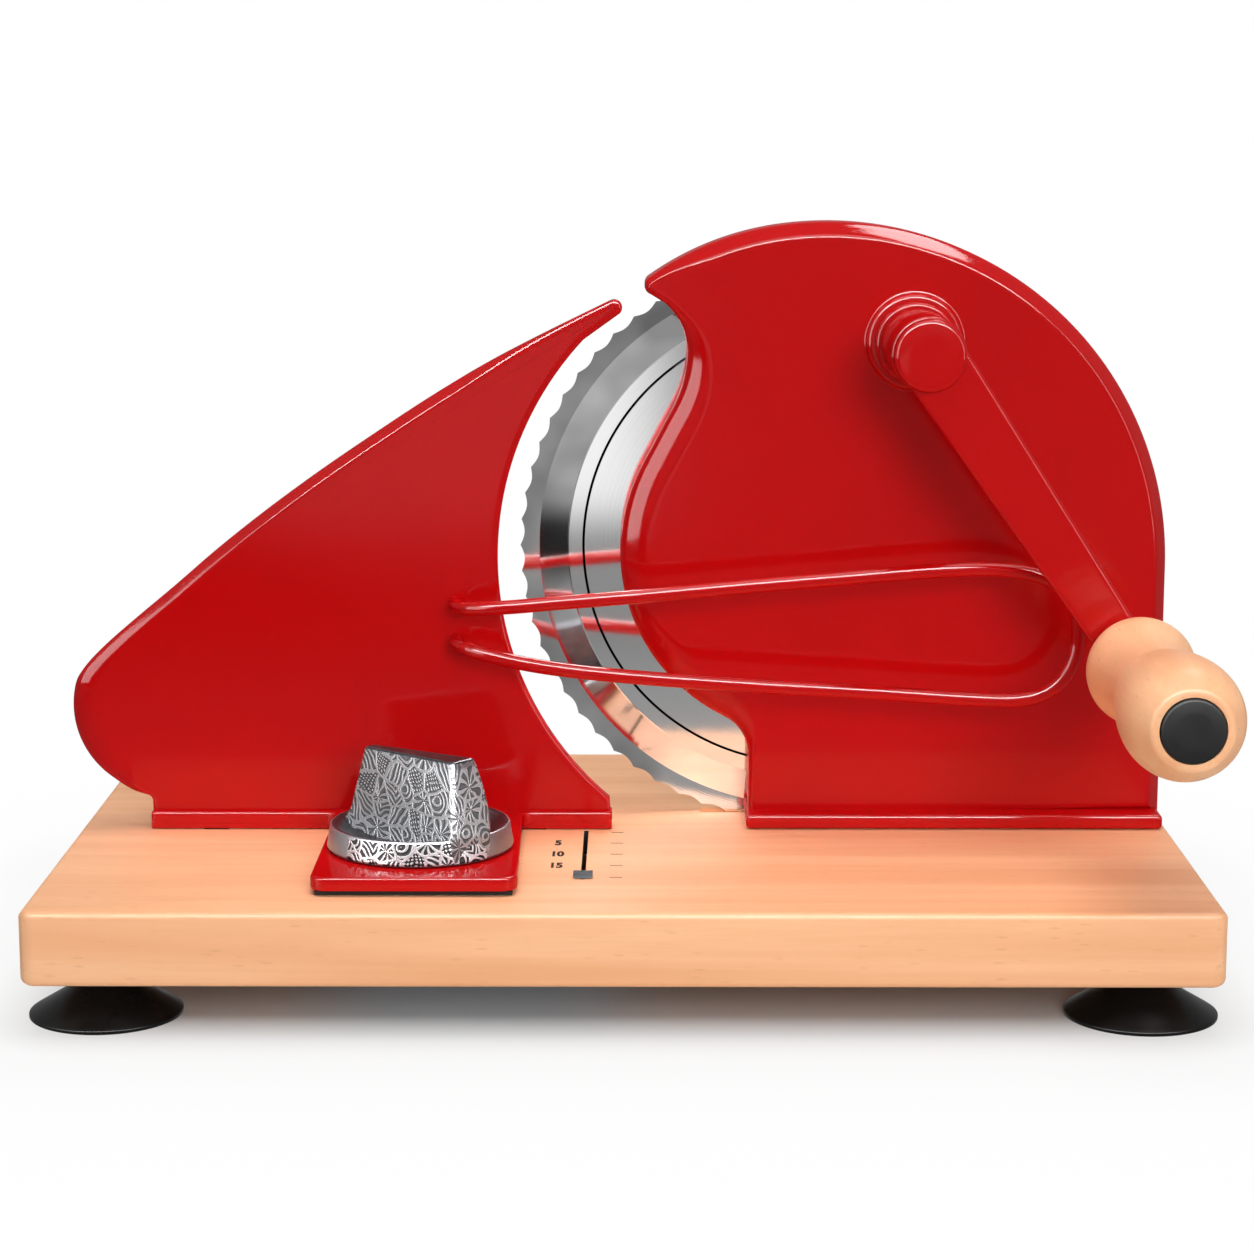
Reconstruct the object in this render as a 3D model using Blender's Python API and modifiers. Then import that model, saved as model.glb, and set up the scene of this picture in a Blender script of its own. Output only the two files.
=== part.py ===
"""Hand-cranked bread slicer on a beech board.

A round serrated blade spins in a cast housing, geared down from a crank with a wooden grip.
A stop plate slides on the board and sets the thickness of the slice: a turn knob drives it
by a rack under the board, and a pointer in a slot shows the setting, magnified.

Metres, +Z up. The slice side and the crank face -Y, and the loaf is fed from the +Y side.
Sizes are given from the board: x from its middle, y back from its front edge and z up from
its top. place() turns them into world coordinates, whose origin is on the table under the
middle of the whole slicer.
"""
import bpy
import bmesh
from math import acos, asin, atan2, cos, degrees, hypot, pi, radians, sin, sqrt, tan
from mathutils import Vector

# Clearance between pieces that touch, and between a shaft and its hole
GAP = 0.0003
SHAFT_CLEARANCE = 0.0003
EMBED = 0.001

# Board
BOARD_LENGTH = 0.360
BOARD_DEPTH = 0.220
BOARD_THICKNESS = 0.023
BOARD_CORNER_CUT = 0.003
BOARD_EDGE_ROUND = 0.0008

# Suction feet
FOOT_HEIGHT = 0.016
FOOT_RADIUS = 0.0235
FOOT_NECK_RADIUS = 0.0075
FOOT_RIM_WIDTH = 0.003
FOOT_RIM_THICKNESS = 0.001
FOOT_INSET_X = 0.0212
FOOT_INSET_Y = 0.0275
STUD_RADIUS = 0.0025
STUD_IN_FOOT = 0.007
STUD_IN_BOARD = 0.011

# Blade, which dips into a slot in the board
BLADE_RADIUS = 0.0954
BLADE_THICKNESS = 0.0012
BLADE_SINK = 0.0045
BLADE_BEVEL_WIDTH = 0.0064
BLADE_SCALLOPS = 68
BLADE_SCALLOP_DEPTH = 0.0013
STEPS_PER_SCALLOP = 3
BLADE_RUNNING_GAP = 0.0014
BLADE_SLOT_ROOM = 0.003
BLADE_SEAT_WIDTH = 0.0077
RIVET_RADIUS = 0.0012
BLADE_SCREW_RADIUS = 0.0025
BLADE_SCREW_LENGTH = 0.010

# Gears
GEAR_MODULE = 0.002
BLADE_GEAR_TEETH = 54
CRANK_GEAR_TEETH = 23
CRANK_DIRECTION = 64.3
GEAR_WIDTH = 0.006
GEAR_TO_BLADE = 0.0033
GEAR_BACKLASH = 0.00016
PRESSURE_ANGLE = radians(20)
SHAFT_RADIUS = 0.005
BUSH_WALL = 0.0023
HUB_WALL = 0.0021

# Housing: a cast shell round the gears, open towards the loaf
HOUSING_FACE_Y = 0.112
HOUSING_WALL = 0.0035
HOUSING_FLOOR = 0.006
HOUSING_INSET = 0.0014
HOUSING_CLEARANCE = 0.00475
HOUSING_OFFSET_X = 0.0055
HOUSING_OFFSET_Z = -0.0049
HOUSING_EDGE_ROUND = 0.005
BACK_END_ANGLE = 100
BEAK_RADIUS = 0.003
BEAK_ANGLE = 121.5
BEAK_DIP = 0.0014
BEAK_TOP_ANGLE = 124
BEAK_UNDER_ANGLE = 250
BEAK_BULGE = 0.0023
BEAK_SOLID = 0.003
BEND_UPPER_RADIUS = 0.020
BEND_UPPER_ANGLE = 50
BEND_CAVITY_ANGLE = 25
BEND_LOWER_RADIUS = 0.041
BEND_STRAIGHT = 0.0205
GULLET_CLEARANCE = 0.0025
GULLET_TOP_ANGLE = 152
GULLET_FOOT_ANGLE = 244
FOOT_FILLET_RADIUS = 0.014
FLANGE_THICKNESS = 0.005
FLANGE_REACH = 0.009
FLANGE_EDGE_ROUND = 0.0012
BOSS_HEIGHT = 0.0024
BOSS_TO_GEAR = 0.0036
BOSS_WALL = 0.003
FOOT_BOSS_HEIGHT = 0.016
SURROUND_THICKNESS = 0.0025
SURROUND_BOSS_RADIUS = 0.004
AXLE_BLIND_WALL = 0.0018

# Crank
CRANK_LENGTH_X = 0.0656
CRANK_DROP = 0.0963
ARM_FRONT_Y = 0.060
ARM_THICKNESS = 0.008
ARM_WIDTH_HUB = 0.021
ARM_WIDTH_GRIP = 0.0145
ARM_EDGE_ROUND = 0.0011
HUB_RADIUS = 0.0118
COLLAR_RADIUS = 0.0132
COLLAR_LENGTH = 0.005
ESCUTCHEON_RADIUS = 0.0157
ESCUTCHEON_HEIGHT = 0.0035
CAP_RADIUS = 0.0113
CAP_THICKNESS = 0.0048

# Wooden grip
GRIP_LENGTH = 0.100
GRIP_BELLY_RADIUS = 0.0179
GRIP_SHOULDER_RADIUS = 0.0168
GRIP_WAIST_RADIUS = 0.0128
GRIP_PIN_RADIUS = 0.004
PIN_HEAD_WIDTH = 0.0022
PLUG_RADIUS = 0.0093
PLUG_DOME = 0.0018
PLUG_SEAT = 0.0025
NUT_WALL = 0.0025
NUT_WIDTH = 0.003
NUT_ROOM = 0.001
NUT_DEPTH = 0.0065

# Stop plate that sets the slice thickness
THICKNESS_RANGE = 0.020
PLATE_THICKNESS = 0.006
PLATE_TO_BLADE = 0.0099
PLATE_ARC_SHIFT_X = 0.0033
PLATE_ARC_SHIFT_Z = -0.0014
PLATE_ARC_LOW_Z = 0.0097
PLATE_ARC_END_ANGLE = 137
PLATE_TIP_RADIUS = 0.0026
PLATE_TIP_ANGLE = 129.3
PLATE_TIP_LEAN = 0.0019
PLATE_BULGE = 0.0065
PLATE_INSET = 0.0236
PLATE_NOSE_RADIUS = 0.0295
PLATE_NOSE_X = 0.0037
PLATE_NOSE_Z = 0.040
PLATE_EDGE_ROUND = 0.0024
TONGUE_LEFT_OF_KNOB = 0.031
TONGUE_RIGHT_OF_KNOB = 0.032
TONGUE_FRONT_OF_KNOB = 0.0399
TONGUE_THICKNESS = 0.0042
TONGUE_CORNER = 0.005
TONGUE_FILLET = 0.0035
PAD_THICKNESS = 0.0011
PAD_INSET = 0.0015
SPINDLE_BUSH_WALL = 0.003
KEY_WIDTH = 0.008
KEY_LENGTH = 0.008
KEY_DEPTH = 0.004
KEY_INSETS = (0.0214, 0.0259)
KEY_SCREW_GRIP = 0.0038

# Turn knob
KNOB_FROM_PLATE_END = 0.0599
KNOB_Y = 0.0584
KNOB_RADIUS = 0.0293
KNOB_SKIRT_HEIGHT = 0.0078
KNOB_HEIGHT = 0.0300
FIN_TURN = -40.0
FIN_FOOT = (0.050, 0.020)
FIN_TOP = (0.039, 0.0105)
FIN_EDGE_ROUND = 0.0018
SPINDLE_RADIUS = 0.005
SPINDLE_TAIL_RADIUS = 0.003
SPINDLE_IN_KNOB = 0.006

# Rack drive under the board
RACK_MODULE = 0.0008
PINION_TEETH = 16
POINTER_PINION_TEETH = 30
PINION_WIDTH = 0.006
POINTER_PINION_WIDTH = 0.0026
SPACER_WALL = 0.0022
RACK_BACK = 0.0128
RACK_END_MARGIN = 0.008
SLIDE_BAR_WIDTH = 0.006
SLIDE_THICKNESS = 0.003
SLIDE_TO_PINION = 0.0002
RAIL_WIDTH = 0.003
POINTER_FROM_PLATE_END = 0.0084
POINTER_FRONT_OF_KNOB = 0.0164
POINTER_SIZE = (0.006, 0.004, 0.0015)
POINTER_SLOT_WIDTH = 0.0015
POINTER_ARM_WIDTH = 0.006
COVER_THICKNESS = 0.0016
COVER_LEDGE = 0.006
COVER_SCREW_INSET = 0.003
COVER_SCREW_BITE = 0.0066
RACK_SCREW_BITE = 0.005
RECESS_SIDE_ROOM = 0.002
RECESS_END_ROOM = 0.0015

# Wire guard that keeps the slices upright
WIRE_RADIUS = 0.0023
WIRE_STANDOFF = 0.020
WIRE_ENDS_X = -0.055
WIRE_END_ZS = (0.0633, 0.0757)
WIRE_SEAT = 0.0038

# Fasteners
SCREW_RADIUS = 0.00125
SCREW_HEAD_RADIUS = 0.0026
SCREW_HEAD_HEIGHT = 0.0011
SURROUND_HEAD_RADIUS = 0.0022
SURROUND_HEAD_HEIGHT = 0.0012
SURROUND_SCREW_ANGLES = (88, 20, -38)
HOUSING_SCREW_RADIUS = 0.002
HOUSING_SCREW_HEAD_RADIUS = 0.004
HOUSING_SCREW_HEAD_HEIGHT = 0.0026
HOUSING_SCREW_INSET = 0.0127

# Worked out from the sizes above: gears, bushes and blade
BOARD_TOP_Z = FOOT_HEIGHT + BOARD_THICKNESS
BUSH_RADIUS = SHAFT_RADIUS + SHAFT_CLEARANCE + BUSH_WALL
BLADE_HOLE_RADIUS = BUSH_RADIUS + SHAFT_CLEARANCE + HUB_WALL + GAP
BLADE_SEAT_RADIUS = BLADE_HOLE_RADIUS + BLADE_SEAT_WIDTH
GEAR_DISTANCE = GEAR_MODULE * (BLADE_GEAR_TEETH + CRANK_GEAR_TEETH) / 2
CRANK_OFFSET_X = GEAR_DISTANCE * cos(radians(CRANK_DIRECTION))
CRANK_OFFSET_Z = GEAR_DISTANCE * sin(radians(CRANK_DIRECTION))
BLADE_GEAR_TIP_RADIUS = GEAR_MODULE * (BLADE_GEAR_TEETH / 2 + 1)
CRANK_GEAR_TIP_RADIUS = GEAR_MODULE * (CRANK_GEAR_TEETH / 2 + 1)

# The housing's round back clears the crank's gear and the blade
GEAR_REACH = CRANK_GEAR_TIP_RADIUS + hypot(CRANK_OFFSET_X - HOUSING_OFFSET_X,
                                           CRANK_OFFSET_Z - HOUSING_OFFSET_Z)
BLADE_REACH = BLADE_RADIUS + BLADE_RUNNING_GAP + hypot(HOUSING_OFFSET_X, HOUSING_OFFSET_Z)
HOUSING_RADIUS = max(GEAR_REACH, BLADE_REACH) + HOUSING_CLEARANCE + HOUSING_WALL
HOUSING_CENTRE_X = BOARD_LENGTH / 2 - HOUSING_INSET - HOUSING_RADIUS
BLADE_X = HOUSING_CENTRE_X - HOUSING_OFFSET_X
BLADE_Z = BLADE_RADIUS - BLADE_SINK
HOUSING_CENTRE_Z = BLADE_Z + HOUSING_OFFSET_Z
GULLET_RADIUS = BLADE_GEAR_TIP_RADIUS + GULLET_CLEARANCE + HOUSING_WALL
CRANK_X = BLADE_X + CRANK_OFFSET_X
CRANK_Z = BLADE_Z + CRANK_OFFSET_Z
GRIP_X = CRANK_X + CRANK_LENGTH_X
GRIP_Z = CRANK_Z - CRANK_DROP

# Along y, from the housing's face back to the blade, and forward to the grip's end
CAVITY_FRONT_Y = HOUSING_FACE_Y + HOUSING_WALL
BOSS_END_Y = CAVITY_FRONT_Y + BOSS_HEIGHT
GEAR_FRONT_Y = BOSS_END_Y + BOSS_TO_GEAR
GEAR_BACK_Y = GEAR_FRONT_Y + GEAR_WIDTH
BLADE_FRONT_Y = GEAR_BACK_Y + GEAR_TO_BLADE
BLADE_FACE_Y = BLADE_FRONT_Y + BLADE_THICKNESS
HOUSING_DEPTH = BLADE_FACE_Y - HOUSING_FACE_Y
SURROUND_FRONT_Y = BLADE_FACE_Y - SURROUND_THICKNESS
ESCUTCHEON_FRONT_Y = HOUSING_FACE_Y - ESCUTCHEON_HEIGHT
COLLAR_BACK_Y = ESCUTCHEON_FRONT_Y - GAP
COLLAR_FRONT_Y = COLLAR_BACK_Y - COLLAR_LENGTH
ARM_BACK_Y = ARM_FRONT_Y + ARM_THICKNESS
GRIP_BACK_Y = ARM_FRONT_Y - GAP
GRIP_FRONT_Y = GRIP_BACK_Y - GRIP_LENGTH
PLUG_FRONT_Y = GRIP_FRONT_Y - PLUG_DOME
BOARD_FRONT_Y = -(BOARD_DEPTH + PLUG_FRONT_Y) / 2

# The stop plate at rest is a full slice away from the blade's plane
PLATE_BACK_Y = BLADE_FACE_Y - THICKNESS_RANGE
PLATE_FRONT_Y = PLATE_BACK_Y - PLATE_THICKNESS
PLATE_FOOT_FRONT_Y = PLATE_BACK_Y - FLANGE_REACH
PLATE_ARC_X = BLADE_X + PLATE_ARC_SHIFT_X
PLATE_ARC_Z = BLADE_Z + PLATE_ARC_SHIFT_Z
PLATE_ARC_RADIUS = BLADE_RADIUS + PLATE_TO_BLADE
PLATE_ARC_DROP = PLATE_ARC_Z - PLATE_ARC_LOW_Z
PLATE_RIGHT = PLATE_ARC_X - sqrt(PLATE_ARC_RADIUS ** 2 - PLATE_ARC_DROP ** 2) + 0.0008
PLATE_FOOT_LEFT = PLATE_INSET - BOARD_LENGTH / 2
WIRE_PLANE_Y = PLATE_FRONT_Y - WIRE_STANDOFF
KEY_XS = (PLATE_FOOT_LEFT + KEY_INSETS[0], PLATE_RIGHT - KEY_INSETS[1])
KNOB_X = PLATE_RIGHT - KNOB_FROM_PLATE_END
TONGUE_LEFT = KNOB_X - TONGUE_LEFT_OF_KNOB
TONGUE_RIGHT = KNOB_X + TONGUE_RIGHT_OF_KNOB
TONGUE_FRONT_Y = KNOB_Y - TONGUE_FRONT_OF_KNOB
TONGUE_BOTTOM_Z = GAP + PAD_THICKNESS + GAP
TONGUE_TOP_Z = TONGUE_BOTTOM_Z + TONGUE_THICKNESS
KNOB_BOTTOM_Z = TONGUE_TOP_Z + GAP
SPINDLE_BUSH_RADIUS = SPINDLE_RADIUS + SPINDLE_BUSH_WALL

# The drive under the board, stacked up from its cover
COVER_TOP_Z = -BOARD_THICKNESS + GAP + COVER_THICKNESS
SLIDE_BOTTOM_Z = COVER_TOP_Z + GAP
SLIDE_TOP_Z = SLIDE_BOTTOM_Z + SLIDE_THICKNESS
ARM_TOP_Z = SLIDE_TOP_Z + SLIDE_THICKNESS
PINION_BOTTOM_Z = ARM_TOP_Z + SLIDE_TO_PINION
PINION_TOP_Z = PINION_BOTTOM_Z + PINION_WIDTH
CEILING_Z = PINION_TOP_Z + 2 * GAP
PINION_RADIUS = RACK_MODULE * PINION_TEETH / 2
POINTER_PINION_RADIUS = RACK_MODULE * POINTER_PINION_TEETH / 2
POINTER_GAIN = 1 + POINTER_PINION_RADIUS / PINION_RADIUS
POINTER_TRAVEL = THICKNESS_RANGE * POINTER_GAIN
POINTER_X = PLATE_RIGHT - POINTER_FROM_PLATE_END
POINTER_Y = KNOB_Y - POINTER_FRONT_OF_KNOB
RACK_LINE_X = KNOB_X - PINION_RADIUS
SLIDE_LINE_X = KNOB_X + POINTER_PINION_RADIUS
SLIDE_BAR_RIGHT = SLIDE_LINE_X + SLIDE_BAR_WIDTH
SLIDE_FRONT_Y = KNOB_Y + THICKNESS_RANGE - POINTER_TRAVEL - RACK_END_MARGIN
SLIDE_BACK_Y = KNOB_Y + RACK_END_MARGIN
RACK_LEFT = RACK_LINE_X - RACK_BACK
RECESS_LEFT = RACK_LEFT - RECESS_SIDE_ROOM
RECESS_RIGHT = POINTER_X + POINTER_SIZE[0] / 2 + RECESS_SIDE_ROOM
RECESS_FRONT_Y = SLIDE_FRONT_Y - RECESS_END_ROOM
RECESS_BACK_Y = SLIDE_BACK_Y + POINTER_TRAVEL + RECESS_END_ROOM

PARTS = "bread_slicer"
CUTTERS = "cutters"


def place(x, y, z):
    """World position of a point given from the board."""
    return Vector((x, y + BOARD_FRONT_Y, z + BOARD_TOP_Z))


def clear_scene():
    for item in list(bpy.data.objects):
        bpy.data.objects.remove(item, do_unlink=True)
    for name in (PARTS, CUTTERS):
        if name not in bpy.data.collections:
            bpy.context.scene.collection.children.link(bpy.data.collections.new(name))


def material(name, colour, roughness, metallic=0.0):
    made = bpy.data.materials.get(name) or bpy.data.materials.new(name)
    made.use_nodes = True
    shader = made.node_tree.nodes["Principled BSDF"]
    shader.inputs["Base Color"].default_value = (*colour, 1.0)
    shader.inputs["Roughness"].default_value = roughness
    shader.inputs["Metallic"].default_value = metallic
    return made


def new_object(name, mesh, location=(0, 0, 0), standing=False):
    """A mesh in the parts collection. Standing turns its local z axis to face -Y."""
    made = bpy.data.objects.new(name, mesh)
    made.location = location
    if standing:
        made.rotation_euler.x = pi / 2
    bpy.data.collections[PARTS].objects.link(made)
    return made


def evaluated_mesh(item):
    graph = bpy.context.evaluated_depsgraph_get()
    return bpy.data.meshes.new_from_object(item.evaluated_get(graph))


def weld(mesh):
    shape = bmesh.new()
    shape.from_mesh(mesh)
    bmesh.ops.remove_doubles(shape, verts=shape.verts, dist=1e-6)
    shape.to_mesh(mesh)
    shape.free()


def soften(mesh, angle=35):
    mesh.shade_smooth()
    mesh.set_sharp_from_angle(angle=radians(angle))


def block(name, low, high, round_off=0.0, segments=2):
    """A box between two corners given from the board."""
    size = [b - a for a, b in zip(low, high)]
    middle = [(a + b) / 2 for a, b in zip(low, high)]
    shape = bmesh.new()
    bmesh.ops.create_cube(shape, size=1.0)
    bmesh.ops.scale(shape, vec=size, verts=shape.verts)
    mesh = bpy.data.meshes.new(name)
    shape.to_mesh(mesh)
    shape.free()
    made = new_object(name, mesh, place(*middle))
    if round_off:
        bevel(made, round_off, segments)
    return made


def rod(name, radius, start, end, sides=20):
    """A cylinder between two points given from the board."""
    start, end = place(*start), place(*end)
    along = end - start
    shape = bmesh.new()
    bmesh.ops.create_cone(shape, cap_ends=True, segments=sides, radius1=radius,
                          radius2=radius, depth=along.length)
    mesh = bpy.data.meshes.new(name)
    shape.to_mesh(mesh)
    shape.free()
    soften(mesh)
    made = new_object(name, mesh, (start + end) / 2)
    made.rotation_euler = along.to_track_quat("Z", "X").to_euler()
    return made


def slab(name, outlines, thickness, location, standing=False):
    """A flat plate from closed outlines: the first is its edge, the others are holes."""
    curve = bpy.data.curves.new(name, "CURVE")
    curve.dimensions = "2D"
    curve.fill_mode = "BOTH"
    curve.extrude = thickness / 2
    for outline in outlines:
        spline = curve.splines.new("POLY")
        spline.points.add(len(outline) - 1)
        for point, (x, y) in zip(spline.points, outline):
            point.co = (x, y, 0, 1)
        spline.use_cyclic_u = True
    flat = new_object(name + "_outline", curve)
    mesh = evaluated_mesh(flat)
    bpy.data.objects.remove(flat)
    weld(mesh)
    soften(mesh)
    mesh.name = name
    return new_object(name, mesh, location, standing)


def turned(name, profile, location, steps=24, standing=False, bored=False):
    """A profile of (radius, height) turned about local z, listed down its outer side."""
    mesh = bpy.data.meshes.new(name)
    edges = [(i, i + 1) for i in range(len(profile) - 1)]
    if bored:
        edges.append((len(profile) - 1, 0))
    mesh.from_pydata([(r, 0, h) for r, h in profile], edges, [])
    made = new_object(name, mesh, location, standing)
    screw = made.modifiers.new("turn", "SCREW")
    screw.steps = screw.render_steps = steps
    screw.use_merge_vertices = True
    screw.merge_threshold = 1e-6
    made.data = evaluated_mesh(made)
    made.modifiers.clear()
    soften(made.data)
    return made


def lathe_y(name, profile, x, z, steps=24, bored=False):
    """A piece turned about an axis along Y, from (radius, y) listed front to back."""
    heights = [(r, -y) for r, y in profile]
    return turned(name, heights, place(x, 0, z), steps, standing=True, bored=bored)


def lathe_z(name, profile, x, y, steps=24, bored=False):
    """A piece turned about a vertical axis, from (radius, z) listed top to bottom."""
    return turned(name, profile, place(x, y, 0), steps, bored=bored)


def bevel(item, width, segments=2, angle=50):
    made = item.modifiers.new("round", "BEVEL")
    made.width = width
    made.segments = segments
    made.limit_method = "ANGLE"
    made.angle_limit = radians(angle)
    return made


def combine(item, other, operation):
    """Join or cut with another piece, which is then kept as a hidden cutter."""
    made = item.modifiers.new(operation.lower(), "BOOLEAN")
    made.operation = operation
    made.object = other
    made.solver = "EXACT"
    bpy.data.collections[PARTS].objects.unlink(other)
    bpy.data.collections[CUTTERS].objects.link(other)
    other.hide_render = True
    other.display_type = "WIRE"


def join(item, *others):
    for other in others:
        combine(item, other, "UNION")


def cut(item, *others):
    for other in others:
        combine(item, other, "DIFFERENCE")


def cut_again(item, cutter):
    """Cut with a cutter that another piece already uses."""
    made = item.modifiers.new("difference", "BOOLEAN")
    made.operation = "DIFFERENCE"
    made.object = cutter
    made.solver = "EXACT"


def arc(cx, cy, radius, start, end, count):
    """Points on an arc, its angles in degrees."""
    angles = [radians(start + (end - start) * i / count) for i in range(count + 1)]
    return [(cx + radius * cos(a), cy + radius * sin(a)) for a in angles]


def bulged(start, end, sagitta, count):
    """Points between two ends, on an arc that bulges to the left of the way from start."""
    (x0, y0), (x1, y1) = start, end
    length = hypot(x1 - x0, y1 - y0)
    ux, uy = (x1 - x0) / length, (y1 - y0) / length
    points = []
    for i in range(1, count):
        t = i / count
        rise = 4 * sagitta * t * (1 - t)
        points.append((x0 + ux * length * t - uy * rise, y0 + uy * length * t + ux * rise))
    return points


def circle(cx, cy, radius, count=28):
    return arc(cx, cy, radius, 0, 360 * (count - 1) / count, count - 1)


def involute(angle):
    return tan(angle) - angle


def gear_outline(teeth, module, gap_angle):
    """A spur gear's outline with a tooth gap centred on gap_angle, in radians."""
    pitch = module * teeth / 2
    base = pitch * cos(PRESSURE_ANGLE)
    root = pitch - 1.25 * module
    outer = pitch + module
    half = []
    for radius in ([root, outer] if teeth > 20 else [root, pitch, outer]):
        pressure = acos(min(1.0, base / radius))
        spread = pi / (2 * teeth) - GEAR_BACKLASH / (2 * pitch)
        half.append((radius, spread + involute(PRESSURE_ANGLE) - involute(pressure)))
    points = []
    for tooth in range(teeth):
        middle = gap_angle + (tooth + 0.5) * 2 * pi / teeth
        for radius, spread in half:
            points.append((radius * cos(middle - spread), radius * sin(middle - spread)))
        for radius, spread in reversed(half):
            points.append((radius * cos(middle + spread), radius * sin(middle + spread)))
    return points


def rack_teeth(line, start, end, middle, outward):
    """Points along a rack's teeth from start to end, with one tooth centred on middle.

    line is the pitch line and outward is +1 where the teeth point towards +x, or -1.
    """
    pitch = pi * RACK_MODULE
    slope = tan(PRESSURE_ANGLE)
    tip = line + outward * RACK_MODULE
    root = line - outward * 1.25 * RACK_MODULE
    tip_half = pitch / 4 - GEAR_BACKLASH / 2 - RACK_MODULE * slope
    root_half = pitch / 4 - GEAR_BACKLASH / 2 + 1.25 * RACK_MODULE * slope
    points = []
    first = int((start - middle) / pitch)
    last = int((end - middle) / pitch)
    for tooth in range(first, last + 1):
        centre = middle + tooth * pitch
        if centre - root_half > start and centre + root_half < end:
            points += [(root, centre - root_half), (tip, centre - tip_half),
                       (tip, centre + tip_half), (root, centre + root_half)]
    return [(root, start)] + points + [(root, end)]


def screw(name, x, y, head_z, length, radius=SCREW_RADIUS, head_radius=SCREW_HEAD_RADIUS,
          head_height=SCREW_HEAD_HEIGHT):
    """A screw driven upwards, with the top of its head at head_z."""
    profile = [(0, head_z + length), (radius, head_z + length), (radius, head_z),
               (head_radius, head_z), (head_radius * 0.8, head_z - head_height),
               (0, head_z - head_height)]
    return lathe_z(name, profile, x, y, 10)


def foot_places():
    x = BOARD_LENGTH / 2 - FOOT_INSET_X
    y = BOARD_DEPTH - FOOT_INSET_Y
    return {"front_left": (-x, FOOT_INSET_Y), "front_right": (x, FOOT_INSET_Y),
            "rear_left": (-x, y), "rear_right": (x, y)}


def housing_screw_places():
    y = (CAVITY_FRONT_Y + BLADE_FRONT_Y) / 2 - SHAFT_CLEARANCE
    left = housing_foot_left() + HOUSING_SCREW_INSET
    right = HOUSING_CENTRE_X + HOUSING_RADIUS - HOUSING_SCREW_INSET
    return [(left, y), ((left + right) / 2, y), (right, y)]


def cover_corners():
    ledge = COVER_LEDGE / 2
    return [(x, y) for x in (RECESS_LEFT - ledge, RECESS_RIGHT + ledge)
            for y in (RECESS_FRONT_Y + COVER_SCREW_INSET, RECESS_BACK_Y - COVER_SCREW_INSET)]


def rack_screw_places():
    x = RACK_LEFT + 1.5 * SCREW_HEAD_RADIUS
    middle = KNOB_Y + THICKNESS_RANGE / 2
    return [(x, middle - THICKNESS_RANGE / 2), (x, middle + THICKNESS_RANGE / 2)]


def make_board(wood):
    half = BOARD_LENGTH / 2
    board = block("base_board", (-half, 0, -BOARD_THICKNESS), (half, BOARD_DEPTH, 0))
    shape = bmesh.new()
    shape.from_mesh(board.data)
    upright = [e for e in shape.edges if abs(e.verts[0].co.z - e.verts[1].co.z) > 0.001]
    bmesh.ops.bevel(shape, geom=upright, offset=BOARD_CORNER_CUT, segments=1,
                    profile=0.5, affect="EDGES")
    shape.to_mesh(board.data)
    shape.free()
    bevel(board, BOARD_EDGE_ROUND, 1, 60)

    room = BLADE_SLOT_ROOM
    reach = sqrt(BLADE_RADIUS ** 2 - BLADE_Z ** 2) + 2 * room
    cut(board, block("blade_slot", (BLADE_X - reach, BLADE_FRONT_Y - room, -BLADE_SINK - room),
                     (BLADE_X + reach, BLADE_FACE_Y + room, EMBED)))
    for index, x in enumerate(KEY_XS):
        half_key = KEY_WIDTH / 2 + SHAFT_CLEARANCE
        cut(board, block(f"key_groove_{index}",
                         (x - half_key, PLATE_FOOT_FRONT_Y + GAP, -KEY_DEPTH - 2 * GAP),
                         (x + half_key, BLADE_FACE_Y + GAP, EMBED)))
    cut(board, spindle_slot(), pointer_slot(), recess(), cover_rabbet())
    for index, (x, y) in enumerate(cover_corners()):
        cut(board, rod(f"cover_hole_{index}", SCREW_RADIUS + SHAFT_CLEARANCE,
                       (x, y, -BOARD_THICKNESS),
                       (x, y, COVER_TOP_Z + COVER_SCREW_BITE + GAP), 10))
    for index, (x, y) in enumerate(rack_screw_places()):
        cut(board, rod(f"rack_hole_{index}", SCREW_RADIUS + SHAFT_CLEARANCE,
                       (x, y, CEILING_Z - EMBED), (x, y, CEILING_Z + RACK_SCREW_BITE + GAP), 10))
    for index, (x, y) in enumerate(housing_screw_places()):
        cut(board, rod(f"housing_hole_{index}", HOUSING_SCREW_RADIUS + SHAFT_CLEARANCE,
                       (x, y, -BOARD_THICKNESS), (x, y, EMBED), 10))
        cut(board, rod(f"housing_counterbore_{index}",
                       HOUSING_SCREW_HEAD_RADIUS + SHAFT_CLEARANCE,
                       (x, y, -BOARD_THICKNESS - EMBED),
                       (x, y, -BOARD_THICKNESS + 2 * HOUSING_SCREW_HEAD_HEIGHT), 12))
    for place_name, (x, y) in foot_places().items():
        cut(board, rod(f"stud_hole_{place_name}", STUD_RADIUS + SHAFT_CLEARANCE,
                       (x, y, -BOARD_THICKNESS - EMBED),
                       (x, y, -BOARD_THICKNESS + STUD_IN_BOARD + GAP), 10))
    board.data.materials.append(wood)
    return board


def spindle_slot():
    """The slot that the knob's spindle travels along, with round ends."""
    radius = SPINDLE_RADIUS + 2 * SHAFT_CLEARANCE
    outline = arc(0, 0, radius, 180, 360, 6) + arc(0, THICKNESS_RANGE, radius, 0, 180, 6)
    depth = -CEILING_Z + 2 * EMBED
    return slab("spindle_slot", [outline], depth, place(KNOB_X, KNOB_Y, CEILING_Z / 2))


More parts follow.
